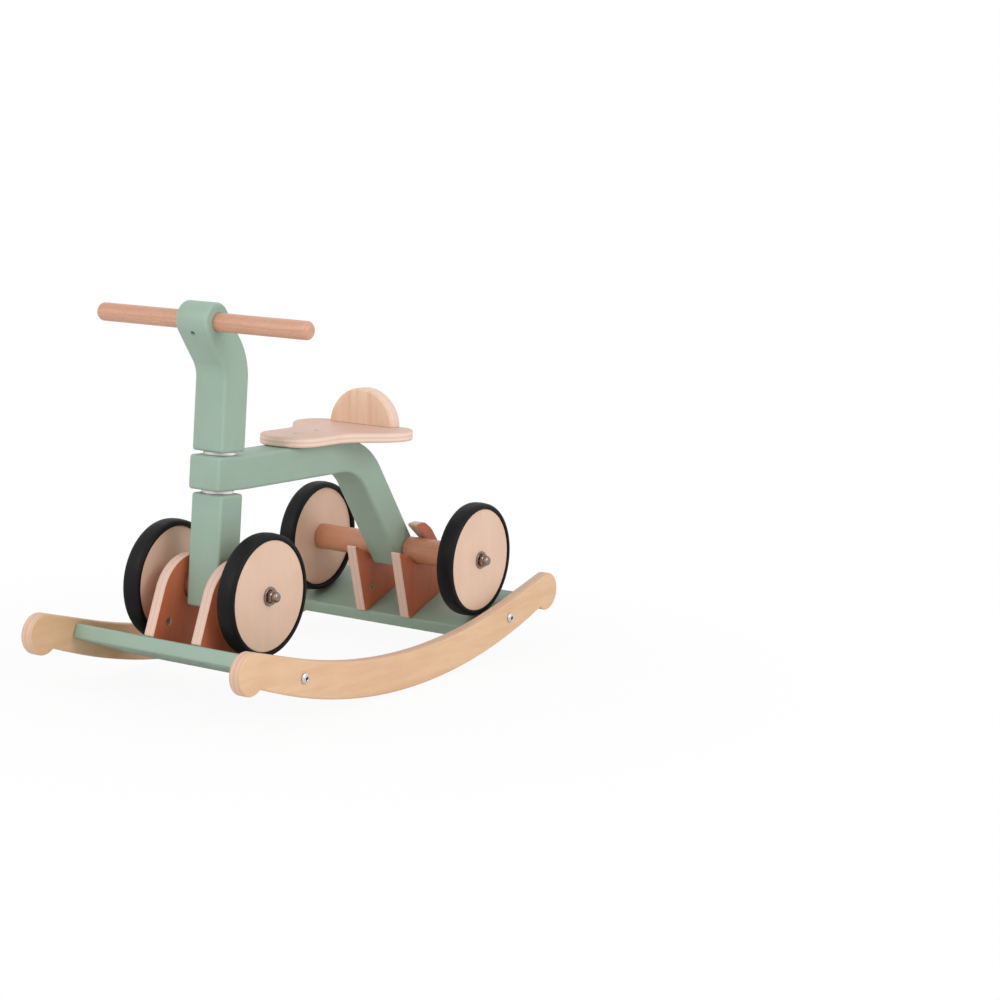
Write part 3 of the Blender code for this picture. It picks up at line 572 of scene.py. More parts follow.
def settle(form, mesh):
    """The form kept in the mesh, with its faces turned outwards and those of many corners split."""
    bmesh.ops.recalc_face_normals(form, faces=form.faces)
    bmesh.ops.triangulate(form, faces=[face for face in form.faces if len(face.verts) > 4])
    form.to_mesh(mesh)
    form.free()
    return mesh


def new_mesh(points, faces):
    """A mesh from arrays, with doubled points welded."""
    mesh = bpy.data.meshes.new("made")
    mesh.from_pydata(points.reshape(-1, 3).tolist(), [], faces)
    form = bmesh.new()
    form.from_mesh(mesh)
    bmesh.ops.remove_doubles(form, verts=form.verts, dist=WELD)
    return settle(form, mesh)


def sheet(outline, low, high, axis, edge, steps=5):
    """A flat sheet between two levels, cut to an outline, with its rim rounded.

    A ring of the grid is the outline moved inwards by edge * (1 - sin a) at the level
    low + edge * (1 - cos a), with a from 0 to a quarter turn. The upper rings are the same,
    counted down from high. One more ring on each face keeps the face's shading flat.
    """
    outline = tidied(outline)
    edge = np.full(len(outline), edge)
    turn = np.linspace(0, pi / 2, steps + 1)[:, None]
    inset = np.vstack([edge + FLAT_MARGIN, edge * (1 - np.sin(turn))])
    level = np.vstack([np.zeros(len(outline)), edge * (1 - np.cos(turn))])
    inset = np.vstack([inset, inset[::-1]])
    level = np.vstack([low + level, high - level[::-1]])
    moved = outline[None] - inset[..., None] * outward(outline)[None]
    points = np.stack(np.insert([moved[..., 0], moved[..., 1]], axis, level, axis=0), axis=-1)
    rings, count = inset.shape
    faces = grid_faces(rings, count)
    faces.append(list(range(count)))
    faces.append(list(range((rings - 1) * count, rings * count)))
    return new_mesh(points, faces)


def cut_flat(mesh, level):
    """The mesh without what lies below a level, closed by a flat face."""
    form = bmesh.new()
    form.from_mesh(mesh)
    cut = bmesh.ops.bisect_plane(form, geom=[*form.verts, *form.edges, *form.faces],
                                 plane_co=(0, 0, level), plane_no=(0, 0, -1), clear_outer=True)
    rim = [item for item in cut["geom_cut"] if isinstance(item, bmesh.types.BMEdge)]
    bmesh.ops.edgenet_fill(form, edges=rim)
    return settle(form, mesh)


def revolved(profile, aim, place, steps=ROUND_STEPS, shape=None):
    """A surface turned about an axis. Ring k lies profile[k][0] along it and profile[k][1] from it.

    shape, of one row for each ring, multiplies that distance at each of the steps round the axis. A
    profile that starts off the axis is a ring's, and closes on itself.
    """
    profile = np.asarray(profile, float)
    aim = unit(aim)
    helper = np.array([0.0, 0.0, 1.0]) if abs(aim[2]) < 0.9 else np.array([0.0, 1.0, 0.0])
    second = unit(np.cross(helper, aim))
    third = np.cross(aim, second)
    angle = np.arange(steps) * 2 * pi / steps
    reach = profile[:, 1][:, None] * (np.ones((len(profile), steps)) if shape is None else shape(angle))
    round_axis = np.cos(angle)[:, None] * second + np.sin(angle)[:, None] * third
    points = np.asarray(place) + profile[:, 0][:, None, None] * aim + reach[..., None] * round_axis[None]
    return new_mesh(points, grid_faces(len(profile), steps, profile[0, 1] > 0))


def quarter(x, radius, across, high, turn_from, turn_to, steps=6):
    """Part of an ellipse for a profile, about (x, radius) with half axes across and high."""
    angle = np.linspace(turn_from, turn_to, steps + 1)
    return np.column_stack([x + across * np.cos(angle), radius + high * np.sin(angle)])


def in_scene(name, data):
    """A new object of this data, linked to the scene."""
    made = bpy.data.objects.new(name, data)
    bpy.context.scene.collection.objects.link(made)
    return made


def drill(mesh, holes):
    """The mesh with round holes cut out of it. A hole is a start, an end and a radius."""
    piece = in_scene("drilled", mesh)
    cutters = []
    for start, end, radius in holes:
        run = np.subtract(end, start)
        length = float(np.linalg.norm(run))
        profile = [(0, 0), (0, radius), (length, radius), (length, 0)]
        cutter = in_scene("drill", revolved(profile, run, start, DRILL_STEPS))
        cutters.append(cutter)
        cutting = piece.modifiers.new("drill", "BOOLEAN")
        cutting.operation = "DIFFERENCE"
        cutting.solver = "EXACT"
        cutting.object = cutter
    shown = piece.evaluated_get(bpy.context.evaluated_depsgraph_get())
    drilled = bpy.data.meshes.new_from_object(shown)
    for used in [piece, *cutters]:
        bpy.data.objects.remove(used)
    return drilled


def face_vectors(mesh, kind):
    """The normal or the centre of each face, one row each."""
    vectors = np.zeros(len(mesh.polygons) * 3)
    mesh.polygons.foreach_get(kind, vectors)
    return vectors.reshape(-1, 3)


def mark(mesh, label, values):
    """Give each face a number that its finish reads."""
    mesh.attributes.new(label, "FLOAT", "FACE").data.foreach_set("value", values.astype(np.float32))


def mark_sheet(mesh, axis):
    """Mark how far each face is a cut edge, and how far it lies on a rounding.

    facing is how much the face looks along the sheet's axis. A cut edge is a smooth ramp from 0 at
    0.95 to 1 at 0.35, and a rounding is 4 * facing * (1 - facing).
    """
    facing = np.abs(face_vectors(mesh, "normal")[:, axis])
    share = np.clip((0.95 - facing) / 0.6, 0, 1)
    mark(mesh, "cut", share * share * (3 - 2 * share))
    mark(mesh, "rounding", np.clip(4 * facing * (1 - facing), 0, 1))


def mark_recess(mesh, place, aim, low, high, reach):
    """Mark a driver's recess: the faces between two levels along the aim and within reach of its line."""
    apart = face_vectors(mesh, "center") - np.asarray(place)
    level = apart @ unit(aim)
    aside = np.linalg.norm(apart - level[:, None] * unit(aim), axis=1)
    mark(mesh, "recess", (level > low) & (level < high) & (aside < reach))
    return mesh


def stand_for(node, mesh, finish, axis=None):
    """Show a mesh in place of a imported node, on that node's body. axis is the one through a sheet."""
    slot, material = FINISHES[finish]
    mesh.name = node + "_made"
    mesh.shade_smooth()
    mesh.set_sharp_from_angle(angle=STEEL_CREASE if slot == "plated_steel" else CREASE)
    if axis is not None:
        mark_sheet(mesh, axis)
    mesh.materials.clear()
    mesh.materials.append(material)
    piece = in_scene(mesh.name, mesh)
    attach(piece, body_of[node])
    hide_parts(node)


# Places

def column_point(forward, height):
    """A point of the leaning column, given from its steering axis, as world Y and Z."""
    back = np.asarray(forward, float) - TRAIL
    height = np.asarray(height, float)
    y = back * cos(RAKE) + height * sin(RAKE)
    z = height * cos(RAKE) - back * sin(RAKE)
    return np.stack([y - HALF_BASE, z + AXLE_HEIGHT], axis=-1)


def in_space(x, flat):
    """A point from its X and its flat Y and Z."""
    return np.array([x, *flat])


COLUMN_UP = np.array([0.0, sin(RAKE), cos(RAKE)])
COLUMN_FOOT = in_space(0, column_point(0, 0))


def on_column(height):
    """A point of the steering axis."""
    return COLUMN_FOOT + COLUMN_UP * height


def board_height(y):
    """How high the top of a board lies at y, on its slope."""
    return BOARD_Z + (abs(y) - BOARD_Y) * tan(BOARD_SLOPE)


def cradle_base(end, y):
    """A point of a cradle plate's foot, on the board, from its axle."""
    return (y, board_height(y + ENDS[end] * HALF_BASE) + GAP / cos(BOARD_SLOPE) - AXLE_HEIGHT)


def board_normal(end):
    """The way that the top of a board faces."""
    return np.array([0.0, -ENDS[end] * sin(BOARD_SLOPE), cos(BOARD_SLOPE)])


def axle_place(end):
    """The middle of an axle."""
    return np.array([0.0, ENDS[end] * HALF_BASE, AXLE_HEIGHT])


# Outlines

def frame_outline():
    """A square head, a level beam, an arc and a sloping leg."""
    bend = (BEND_CENTRE_Y - HALF_BASE, BEAM_BOTTOM - BEND_INNER + AXLE_HEIGHT)
    under = arc(bend, BEND_INNER, pi / 2, LEG_ANGLE, 40)
    over = arc(bend, BEND_INNER + BEAM_DEPTH, LEG_ANGLE, pi / 2, 48)
    slope = np.array([sin(LEG_ANGLE), -cos(LEG_ANGLE)])
    foot = AXLE_HEIGHT + FOOT_HEIGHT
    inner_foot = under[-1] + slope * (under[-1][1] - foot) / -slope[1]
    outer_foot = over[0] + slope * (over[0][1] - foot) / -slope[1]
    head = [column_point(HEAD_FRONT, HEAD_TOP), column_point(HEAD_FRONT, HEAD_BOTTOM),
            column_point(HEAD_BACK, HEAD_BOTTOM)]
    corners = [*head, *under, inner_foot, outer_foot, *over, column_point(HEAD_BACK, HEAD_TOP)]
    pair = [TIMBER_CORNER] * 2
    radii = [*pair, 0, *[0] * len(under), *pair, *[0] * len(over), 0]
    return rounded(corners, radii)


def stem_outline():
    """A straight post, a bend forward and an arm that ends round the bar."""
    reach = (EYE_FORWARD + STEM_SHIFT) / sin(ARM_ANGLE)
    bend_height = EYE_HEIGHT - reach * cos(ARM_ANGLE) - ARM_BEND_RADIUS * tan(ARM_ANGLE / 2)
    centre = (STEM_SHIFT - ARM_BEND_RADIUS, bend_height)
    inner = arc(centre, ARM_BEND_RADIUS - STEM_HALF_DEPTH, ARM_ANGLE, 0, 24)
    outer = arc(centre, ARM_BEND_RADIUS + STEM_HALF_DEPTH, 0, ARM_ANGLE, 40)
    eye = arc((-EYE_FORWARD, EYE_HEIGHT), EYE_RADIUS, ARM_ANGLE, ARM_ANGLE + pi, 64)
    corners = [(STEM_SHIFT + STEM_HALF_DEPTH, STEM_BOTTOM), *outer, *eye[1:], *inner[1:],
               (STEM_SHIFT - STEM_HALF_DEPTH, STEM_BOTTOM)]
    outline = rounded(corners, [TIMBER_CORNER, *[0] * (len(corners) - 2), TIMBER_CORNER])
    return column_point(outline[:, 0], outline[:, 1])


def fork_outline():
    """A straight post with round corners."""
    half = COLUMN_HALF_DEPTH
    corners = [(-half, FORK_BOTTOM), (half, FORK_BOTTOM), (half, FORK_TOP), (-half, FORK_TOP)]
    outline = rounded(corners, [TIMBER_CORNER] * 4)
    return column_point(outline[:, 0], outline[:, 1])


def runner_outline():
    """A round sole, a flatter crown and a round bulb at each end."""
    crown_centre = np.array([0.0, RUNNER_DEPTH + CROWN_RADIUS])
    bulb = np.array([BULB_Y, BULB_Z])
    apart = bulb - crown_centre
    reach = (CROWN_RADIUS + BULB_RADIUS) / np.linalg.norm(apart)
    lean = atan2(apart[0], -apart[1]) - acos(reach)
    sole_centre = np.array([0.0, SOLE_RADIUS])
    to_bulb = bulb - sole_centre
    distance = np.linalg.norm(to_bulb)
    along_line = (SOLE_RADIUS ** 2 - BULB_RADIUS ** 2 + distance ** 2) / (2 * distance)
    aside = sqrt(SOLE_RADIUS ** 2 - along_line ** 2)
    ahead = to_bulb / distance
    meeting = sole_centre + ahead * along_line + np.array([ahead[1], -ahead[0]]) * aside
    under = atan2(meeting[1] - bulb[1], meeting[0] - bulb[0])
    sole_half = asin(meeting[0] / SOLE_RADIUS)
    down = -pi / 2
    sole = arc(sole_centre, SOLE_RADIUS, down - sole_half, down + sole_half, 150)
    right = arc(bulb, BULB_RADIUS, under, pi / 2 + lean, 48)
    crown = arc(crown_centre, CROWN_RADIUS, down + lean, down - lean, 110)
    left = right[::-1] * (-1, 1)
    return np.vstack([sole[:-1], right, crown[1:], left[1:-1]])


def front_cradle_outline():
    """A hook over a pocket open to the rear, from the front axle."""
    floor = arc((FRONT_POCKET_BACK, 0), POCKET_RADIUS, radians(315), radians(270), 10)
    wall = arc((FRONT_POCKET_FRONT, 0), POCKET_RADIUS, radians(270), radians(160), 28)
    crown = arc(FRONT_CROWN, FRONT_CROWN_RADIUS, radians(95), radians(162.2), 36)
    corners = [*floor[1:], *wall, (-0.0259, 0.0130), (0.0110, 0.0352), (0.0105, 0.0397), *crown,
               cradle_base("front", -0.083), cradle_base("front", 0.0225), (0.0565, 0.0045),
               (0.0455, -0.0010)]
    radii = [*[0] * (len(floor) + len(wall) - 1), 0.009, 0.0012, 0.0025, *[0] * len(crown),
             0.003, 0.004, 0.002, 0.004]
    return rounded(corners, radii)


def rear_cradle_outline():
    """A pocket open to the front and a hook over it, from the rear axle."""
    pocket = arc((0, 0), POCKET_RADIUS, radians(225), radians(380), 40)
    corners = [*pocket, (0.0190, 0.0130), (-0.0110, 0.0352), (-0.0105, 0.0386), (0.0080, 0.0400),
               (0.0265, 0.0285), (0.0445, 0.0080), cradle_base("rear", 0.058), cradle_base("rear", -0.0225),
               (-0.0525, 0.0045), (-0.0395, -0.0010)]
    radii = [*[0] * len(pocket), 0.009, 0.0012, 0.0012, 0.020, 0.030, 0.020, 0.004, 0.004, 0.002, 0.004]
    return rounded(corners, radii)


def seat_outline():
    """A narrow nose that flares by 3 t^2 - 2 t^3 into a wide tail with round corners."""
    nose = arc((NOSE_HALF_WIDTH - NOSE_CORNER, SEAT_NOSE + NOSE_CORNER), NOSE_CORNER, -pi / 2, 0, 36)
    t = np.linspace(0, 1, 48)
    ease = t * t * (3 - 2 * t)
    flare = np.column_stack([NOSE_HALF_WIDTH + (SEAT_HALF_WIDTH - NOSE_HALF_WIDTH) * ease,
                             FLARE_START + (FLARE_END - FLARE_START) * t])
    tail = arc((SEAT_HALF_WIDTH - REAR_CORNER, SEAT_REAR - REAR_CORNER), REAR_CORNER, 0, pi / 2, 32)
    near = np.vstack([nose, flare, tail])
    outline = np.vstack([near, near[::-1] * (-1, 1)])
    return outline - (0, HALF_BASE)


# Fasteners

def hexagon(angle):
    """Reach of a hexagon over its half width across the flats: 1 / cosine of the turn from a flat."""
    return 1 / np.cos((angle + pi / 6) % (pi / 3) - pi / 6)


def cross(lobes, width):
    """The outline of a slot or a cross: width in its middle, and out to 1 at the lobes by |cos|^10."""
    return lambda angle: width + (1 - width) * np.abs(np.cos(angle * lobes / 2)) ** 10


def driven(profile, aim, place, outline, rings=(1, 2)):
    """A fastener whose given rings follow the outline of its driver, while the others are round."""
    follows = np.isin(np.arange(len(profile)), rings)[:, None]

    def shape(angle):
        return np.where(follows, outline(angle)[None], 1.0)

    return revolved(profile, aim, place, SMALL_STEPS, shape)


def socket_bolt(head_radius, head_height, length, aim, place):
    """A button-head bolt with a hexagon socket. Its head sits at place and its shank runs along aim."""
    radius = BOLT_RADIUS
    top = -head_height
    rim = 0.0008
    tip = 0.0005
    edge = 0.0002
    lip = 0.0003
    depth = 0.0022
    flats = 0.33 * head_radius
    dome = quarter(-rim, 0, top + rim, head_radius, pi / 2, 0.50, 8)
    profile = [(length, 0), (length, radius - tip), (length - tip, radius), (0, radius),
               (0, head_radius - edge), (-edge, head_radius), *dome, (top, flats + 0.0004),
               (top + lip, flats), (top + depth - lip, flats), (top + depth, 0)]
    socket = range(len(profile) - 4, len(profile))
    mesh = driven(profile, aim, place, hexagon, socket)
    return mark_recess(mesh, place, aim, top + edge, top + depth + 0.0001, 1.17 * flats)


def lock_screw(length, aim, place):
    """A headless screw with a hexagon socket in the end at place."""
    radius = LOCK_SCREW_RADIUS
    edge = 0.0004
    depth = 0.0018
    flats = 0.0015
    profile = [(depth, 0), (depth - 0.0002, flats), (0, flats), (0, radius - edge), (edge, radius),
               (length, radius), (length, 0)]
    mesh = driven(profile, aim, place, hexagon)
    return mark_recess(mesh, place, aim, 0.0001, depth + 0.0001, 1.2 * flats)


def flat_screw(length, aim, place):
    """A countersunk screw with a cross recess. The top of its head is at place."""
    head = SCREW_HEAD_RADIUS
    edge = 0.0002
    depth = 0.0014
    reach = 0.0027
    point = 0.004
    profile = [(depth, 0), (depth - 0.0001, 0.0011), (0, reach), (0, reach + 0.0005), (0, head - edge),
               (edge, head), (SCREW_HEAD_HEIGHT, SCREW_RADIUS), (length - point, SCREW_RADIUS), (length, 0)]
    mesh = driven(profile, aim, place, cross(4, 0.30))
    return mark_recess(mesh, place, aim, 0.0001, depth + 0.0001, reach + 0.0001)


def barrel_nut(aim, place):
    """A barrel nut about its middle, with a driver's slot in the end that aim leaves behind."""
    half = CROSS_NUT_LENGTH / 2
    radius = CROSS_NUT_RADIUS
    edge = 0.0004
    depth = 0.0013
    profile = [(depth - half, 0), (depth - half, 0.0036), (-half, 0.0037), (-half, 0.0044),
               (-half, radius - edge), (edge - half, radius), (half - edge, radius), (half, radius - edge),
               (half, 0)]
    return driven(profile, aim, place, cross(2, 0.13))


def cap_nut(side, face, place):
    """A domed nut, blind over the rod's end: a chamfered hexagon and a dome of (cos a, sin a)^0.72.

    A row is a place along the axle, a radius, and the furthest that the ring may follow the hexagon.
    """
    foot = face + RUNNING + WASHER_THICKNESS + GAP
    flats = NUT_FLATS / 2
    end = foot + NUT_HEX
    top = foot + NUT_HEIGHT
    neck = end + 0.0012
    blind = top - 0.003
    turn = np.linspace(pi / 2, 0, 15)
    rows = np.vstack([
        [(blind, 0, 1), (blind, ROD_BORE, 1), (foot, ROD_BORE, 1), (foot, flats, 0.98),
         (foot + 0.0006, flats, 1.08), (foot + 0.0011, flats, 2), (end - 0.0012, flats, 2),
         (end - 0.0006, flats, 1.08), (end, flats, 0.97), (end + 0.0001, NUT_DOME, 1)],
        np.column_stack([neck + (top - neck) * np.cos(turn) ** 0.72, NUT_DOME * np.sin(turn) ** 0.72,
                         np.ones(len(turn))])])

    def shape(angle):
        return np.minimum(hexagon(angle)[None], rows[:, 2][:, None])

    return revolved(rows[:, :2] * (side, 1), X_AXIS, place, SMALL_STEPS, shape)


# Pieces

def build_wheels():
    for end, face in WHEEL_FACE.items():
        for hand, side in HANDS.items():
            label = "%s_%s" % (end, hand)
            place = axle_place(end)
            build_wheel(label, side, face, place)
            build_wheel_fixing(label, side, face, place)
            build_spacer("%s_axle_spacer_%s" % (end, hand), side, face, place)


def build_wheel(label, side, face, place):
    """A disc with round rims, and a tyre whose crown follows (1 - |s|^3)^(1/3) with a fine mould line."""
    rim = 0.0015
    inner = face - DISC_WIDTH
    shoulder = DISC_RADIUS - rim
    hole = ROD_RADIUS + RUNNING
    profile = np.vstack([
        [(inner, hole), (inner, shoulder - FLAT_MARGIN)],
        quarter(inner + rim, shoulder, -rim, rim, 0, pi / 2, 5),
        quarter(face - rim, shoulder, rim, rim, pi / 2, 0, 5),
        [(face, shoulder - FLAT_MARGIN), (face, hole)]])
    disc = revolved(profile * (side, 1), X_AXIS, place)
    stand_for("wheel_disc_" + label, disc, "disc ply", axis=X)
    half = TYRE_WIDTH / 2
    seat = DISC_RADIUS + GAP
    wall = 0.0012
    lip = 0.0004
    ridge = 0.0002
    ridge_width = 0.0007
    s = np.sin(np.linspace(-pi / 2, pi / 2, 61))
    height = TYRE_RADIUS - seat - ridge
    crown = seat + wall + (height - wall) * np.cbrt(1 - np.abs(s) ** 3)
    crown = crown + ridge * np.exp(-(s * half / ridge_width) ** 2)
    section = np.vstack([np.column_stack([s * half, crown]), [(half - lip, seat), (lip - half, seat)]])
    section = (section + (face + TYRE_PROUD - half, 0)) * (side, 1)
    stand_for("tyre_" + label, revolved(section, X_AXIS, place), "tyre rubber")


def build_wheel_fixing(label, side, face, place):
    """A washer with a round outer edge, and the cap nut that holds the wheel on its rod."""
    start = face + RUNNING
    end = start + WASHER_THICKNESS
    edge = 0.0002
    soft = 0.0008
    profile = np.vstack([
        [(start, ROD_BORE), (start, WASHER_RADIUS - edge), (start + edge, WASHER_RADIUS)],
        quarter(end - soft, WASHER_RADIUS - soft, soft, soft, pi / 2, 0, 4),
        [(end, WASHER_RADIUS - soft - 0.0003), (end, ROD_BORE)]])
    washer = revolved(profile * (side, 1), X_AXIS, place, SMALL_STEPS)
    # The washer and cap nut take the darkened steel, which is a painted reflection.
    stand_for("hub_washer_" + label, washer, "nut steel with painted reflection")
    stand_for("cap_nut_" + label, cap_nut(side, face, place), "nut steel with painted reflection")


def build_spacer(node, side, face, place):
    """A turned wooden tube from the timber to the wheel, with a round shoulder at the timber."""
    near = TIMBER_HALF_WIDTH + GAP
    far = face - DISC_WIDTH - RUNNING
    soft = SPACER_ROUND
    lip = 0.001
    profile = np.vstack([
        [(near, ROD_BORE)],
        quarter(near + soft, SPACER_RADIUS - soft, -soft, soft, 0, pi / 2),
        quarter(far - lip, SPACER_RADIUS - lip, lip, lip, pi / 2, 0, 4),
        [(far, ROD_BORE)]])
    stand_for(node, revolved(profile * (side, 1), X_AXIS, place, DOWEL_STEPS), "spacer beech with painted shade")


def build_timber(node, outline, finish, holes):
    """A painted timber with an outline on both sides, round edges and its holes."""
    mesh = sheet(outline, -TIMBER_HALF_WIDTH, TIMBER_HALF_WIDTH, X, TIMBER_EDGE)
    stand_for(node, drill(mesh, holes), finish, axis=X)


def build_timbers():
    """The frame, fork and stem, drilled past their faces for the rods, the pivot and the bar."""
    past = 0.002
    across = 0.03 * X_AXIS
    rear = axle_place("rear")
    front = axle_place("front")
    pivot = PIVOT_RADIUS + GAP
    bar = in_space(0, column_point(-BAR_FORWARD, BAR_HEIGHT))
    aim = in_space(0, column_point(-cos(ARM_ANGLE), -sin(ARM_ANGLE)) - column_point(0, 0))
    build_timber("frame", frame_outline(), "frame paint", [
        (on_column(HEAD_BOTTOM - 2 * past), on_column(HEAD_TOP + 2 * past), PIVOT_RADIUS + 2 * RUNNING),
        (rear - across, rear + across, ROD_BORE)])
    build_timber("fork", fork_outline(), "column paint", [
        (on_column(PIVOT_LOW - past), on_column(FORK_TOP + past), pivot),
        (front - across, front + across, ROD_BORE)])
    build_timber("stem", stem_outline(), "column paint", [
        (on_column(STEM_BOTTOM - past), on_column(PIVOT_HIGH + past), pivot),
        (bar - across, bar + across, BAR_RADIUS + GAP),
        (bar + aim * (EYE_RADIUS + 0.0025), bar + aim * BAR_RADIUS, LOCK_SCREW_RADIUS + GAP)])
    mouth = EYE_RADIUS - 0.0015
    screw = lock_screw(mouth - BAR_RADIUS - 2 * GAP, -aim, bar + aim * mouth)
    stand_for("handlebar_lock_screw", screw, "steel")
    build_handlebar(bar)


def build_handlebar(bar):
    """A round rod with domed ends."""
    ends = quarter(BAR_HALF_LENGTH - BAR_END, BAR_RADIUS - BAR_END, BAR_END, BAR_END, 0, pi / 2, 10)
    half_bar = np.vstack([[(BAR_HALF_LENGTH, 0)], ends])
    profile = np.vstack([half_bar, half_bar[::-1] * (-1, 1)])
    stand_for("handlebar", revolved(profile, X_AXIS, bar, DOWEL_STEPS), "bar beech")


def build_glides():
    """A flat ring with a round rim on each side of the frame's head."""
    soft = 0.0010
    bore = PIVOT_RADIUS + RUNNING
    for label, bottom in (("lower", HEAD_BOTTOM - GAP - GLIDE_THICKNESS), ("upper", HEAD_TOP + GAP)):
        top = bottom + GLIDE_THICKNESS
        profile = np.vstack([
            [(bottom, bore)],
            quarter(bottom + soft, GLIDE_RADIUS - soft, -soft, soft, 0, pi / 2, 5),
            quarter(top - soft, GLIDE_RADIUS - soft, soft, soft, pi / 2, 0, 5),
            [(top, bore)]])
        ring = revolved(profile, COLUMN_UP, COLUMN_FOOT, DOWEL_STEPS)
        stand_for("steering_glide_" + label, ring, "white plastic")


def build_seat():
    """The seat, drilled for the screws' heads, and its two screws, a little sunk."""
    top = SEAT_BOTTOM + SEAT_THICKNESS
    past = 0.001
    sunk = 0.0002
    deep = SCREW_HEAD_HEIGHT + GAP
    wide = SCREW_HEAD_RADIUS + GAP
    behind = BACK_FRONT + BACK_THICKNESS / 2 - HALF_BASE
    screws = {label: y - HALF_BASE for label, y in SEAT_SCREWS.items()}
    from_below = {hand: side * BACK_SCREW_X for hand, side in HANDS.items()}
    holes = [((0, y, top - deep), (0, y, top + past), wide) for y in screws.values()]
    holes += [((x, behind, SEAT_BOTTOM - past), (x, behind, SEAT_BOTTOM + deep), wide)
              for x in from_below.values()]
    mesh = drill(sheet(seat_outline(), SEAT_BOTTOM, top, Z, SEAT_EDGE), holes)
    stand_for("seat", mesh, "seat ply", axis=Z)
    for label, y in screws.items():
        screw = flat_screw(SEAT_SCREW_LENGTH, (0, 0, -1), (0, y, top - sunk))
        stand_for("seat_screw_" + label, screw, "dull steel")
    build_back_rest(top + GAP)
    for hand, x in from_below.items():
        screw = flat_screw(BACK_SCREW_LENGTH, (0, 0, 1), (x, behind, SEAT_BOTTOM + sunk))
        stand_for("back_rest_screw_" + hand, screw, "steel")


def build_back_rest(foot):
    """Part of a disc, rounded some way past its foot and then cut flat there."""
    past = 0.2
    below = asin(BACK_DROP / BACK_RADIUS) - past
    part_disc = arc((0, foot - BACK_DROP), BACK_RADIUS, below, pi - below, 96)
    low = BACK_FRONT - HALF_BASE
    mesh = cut_flat(sheet(part_disc, low, low + BACK_THICKNESS, Y, BACK_EDGE), foot)
    stand_for("back_rest", mesh, "back rest ply", axis=Y)


def both_faces(side, inner, thickness):
    """The lower and upper X of a sheet that stands on one side."""
    return sorted((side * inner, side * (inner + thickness)))


def build_base():
    outline = runner_outline()
    for hand, side in HANDS.items():
        low, high = both_faces(side, RUNNER_INNER, RUNNER_THICKNESS)
        stand_for("runner_" + hand, sheet(outline, low, high, X, RUNNER_EDGE), "runner wood", axis=X)
    for end, sign in ENDS.items():
        build_board(end, sign)
        build_cradles(end)


def nut_hole(nut, aim, behind):
    """A blind hole for a barrel nut, from a distance behind it to just past its far end."""
    return nut - aim * behind, nut + aim * (CROSS_NUT_LENGTH / 2 + GAP), CROSS_NUT_RADIUS + GAP


def build_board(end, sign):
    """A sloping board between the runners, with the mouths of its nut holes and bolt recesses beneath."""
    slope = np.array([cos(BOARD_SLOPE), sin(BOARD_SLOPE)])
    down = np.array([slope[1], -slope[0]]) * BOARD_THICKNESS
    middle = np.array([BOARD_Y, BOARD_Z])
    inner = middle - slope * (BOARD_WIDTH / 2)
    outer = middle + slope * (BOARD_WIDTH / 2)
    outline = rounded([inner, outer, outer + down, inner + down], [BOARD_CORNER] * 4) * (sign, 1)
    reach = RUNNER_INNER - GAP
    normal = board_normal(end)
    nut_x = reach - BOARD_NUT_INSET
    past = 0.001
    past_nut = 0.009
    holes = []
    for hand, side in HANDS.items():
        label = "%s_%s" % (end, hand)
        nut = np.array([side * nut_x, sign * BOLT_Y, BOLT_Z])
        holes.append(nut_hole(nut, normal, BOARD_THICKNESS))
        stand_for("board_nut_" + label, barrel_nut(normal, nut), "dull steel")
        seat = np.array([side * (RUNNER_INNER + RUNNER_THICKNESS + GAP), sign * BOLT_Y, BOLT_Z])
        length = abs(seat[0]) - nut_x + past_nut
        bolt = socket_bolt(BOLT_HEAD_RADIUS, BOLT_HEAD_HEIGHT, length, (-side, 0, 0), seat)
        stand_for("runner_bolt_" + label, bolt, "steel")
        foot = cradle_nut_place(end, side) - normal * cradle_nut_rise(end)
        underside = foot - normal * BOARD_THICKNESS
        holes.append((underside + normal * CRADLE_BOLT_RECESS, underside - normal * past,
                      CRADLE_BOLT_HEAD + 2 * GAP))
    mesh = drill(sheet(outline, -reach, reach, X, BOARD_EDGE), holes)
    stand_for(end + "_board", mesh, "board paint", axis=X)


def cradle_nut_place(end, side):
    """The middle of a barrel nut, in the middle of its cradle plate."""
    back, up = CRADLE_NUT[end]
    return in_space(side * (CRADLE_INNER + CRADLE_THICKNESS / 2), axle_place(end)[1:] + (back, up))


def cradle_nut_rise(end):
    """How far that nut lies above the board, square to it."""
    nut = cradle_nut_place(end, 1)
    return (nut[2] - board_height(nut[1])) * cos(BOARD_SLOPE)


def build_cradles(end):
    """Two plates that hook round an axle, each with a barrel nut and the bolt that comes up to it."""
    outline = front_cradle_outline() if end == "front" else rear_cradle_outline()
    outline = outline + axle_place(end)[1:]
    normal = board_normal(end)
    reach = cradle_nut_rise(end) + BOARD_THICKNESS - CRADLE_BOLT_RECESS + GAP
    past_nut = 0.007
    for hand, side in HANDS.items():
        label = "%s_%s" % (end, hand)
        low, high = both_faces(side, CRADLE_INNER, CRADLE_THICKNESS)
        nut = cradle_nut_place(end, side)
        across = side * X_AXIS
        mesh = sheet(outline, low, high, X, CRADLE_EDGE, 3)
        mesh = drill(mesh, [nut_hole(nut, across, CRADLE_THICKNESS)])
        stand_for("cradle_" + label, mesh, "cradle ply with painted shade", axis=X)
        stand_for("cradle_nut_" + label, barrel_nut(across, nut), "dull steel")
        bolt = socket_bolt(CRADLE_BOLT_HEAD, CRADLE_BOLT_HEAD_HEIGHT, reach + past_nut, normal,
                           nut - normal * reach)
        stand_for("cradle_bolt_" + label, bolt, "steel")


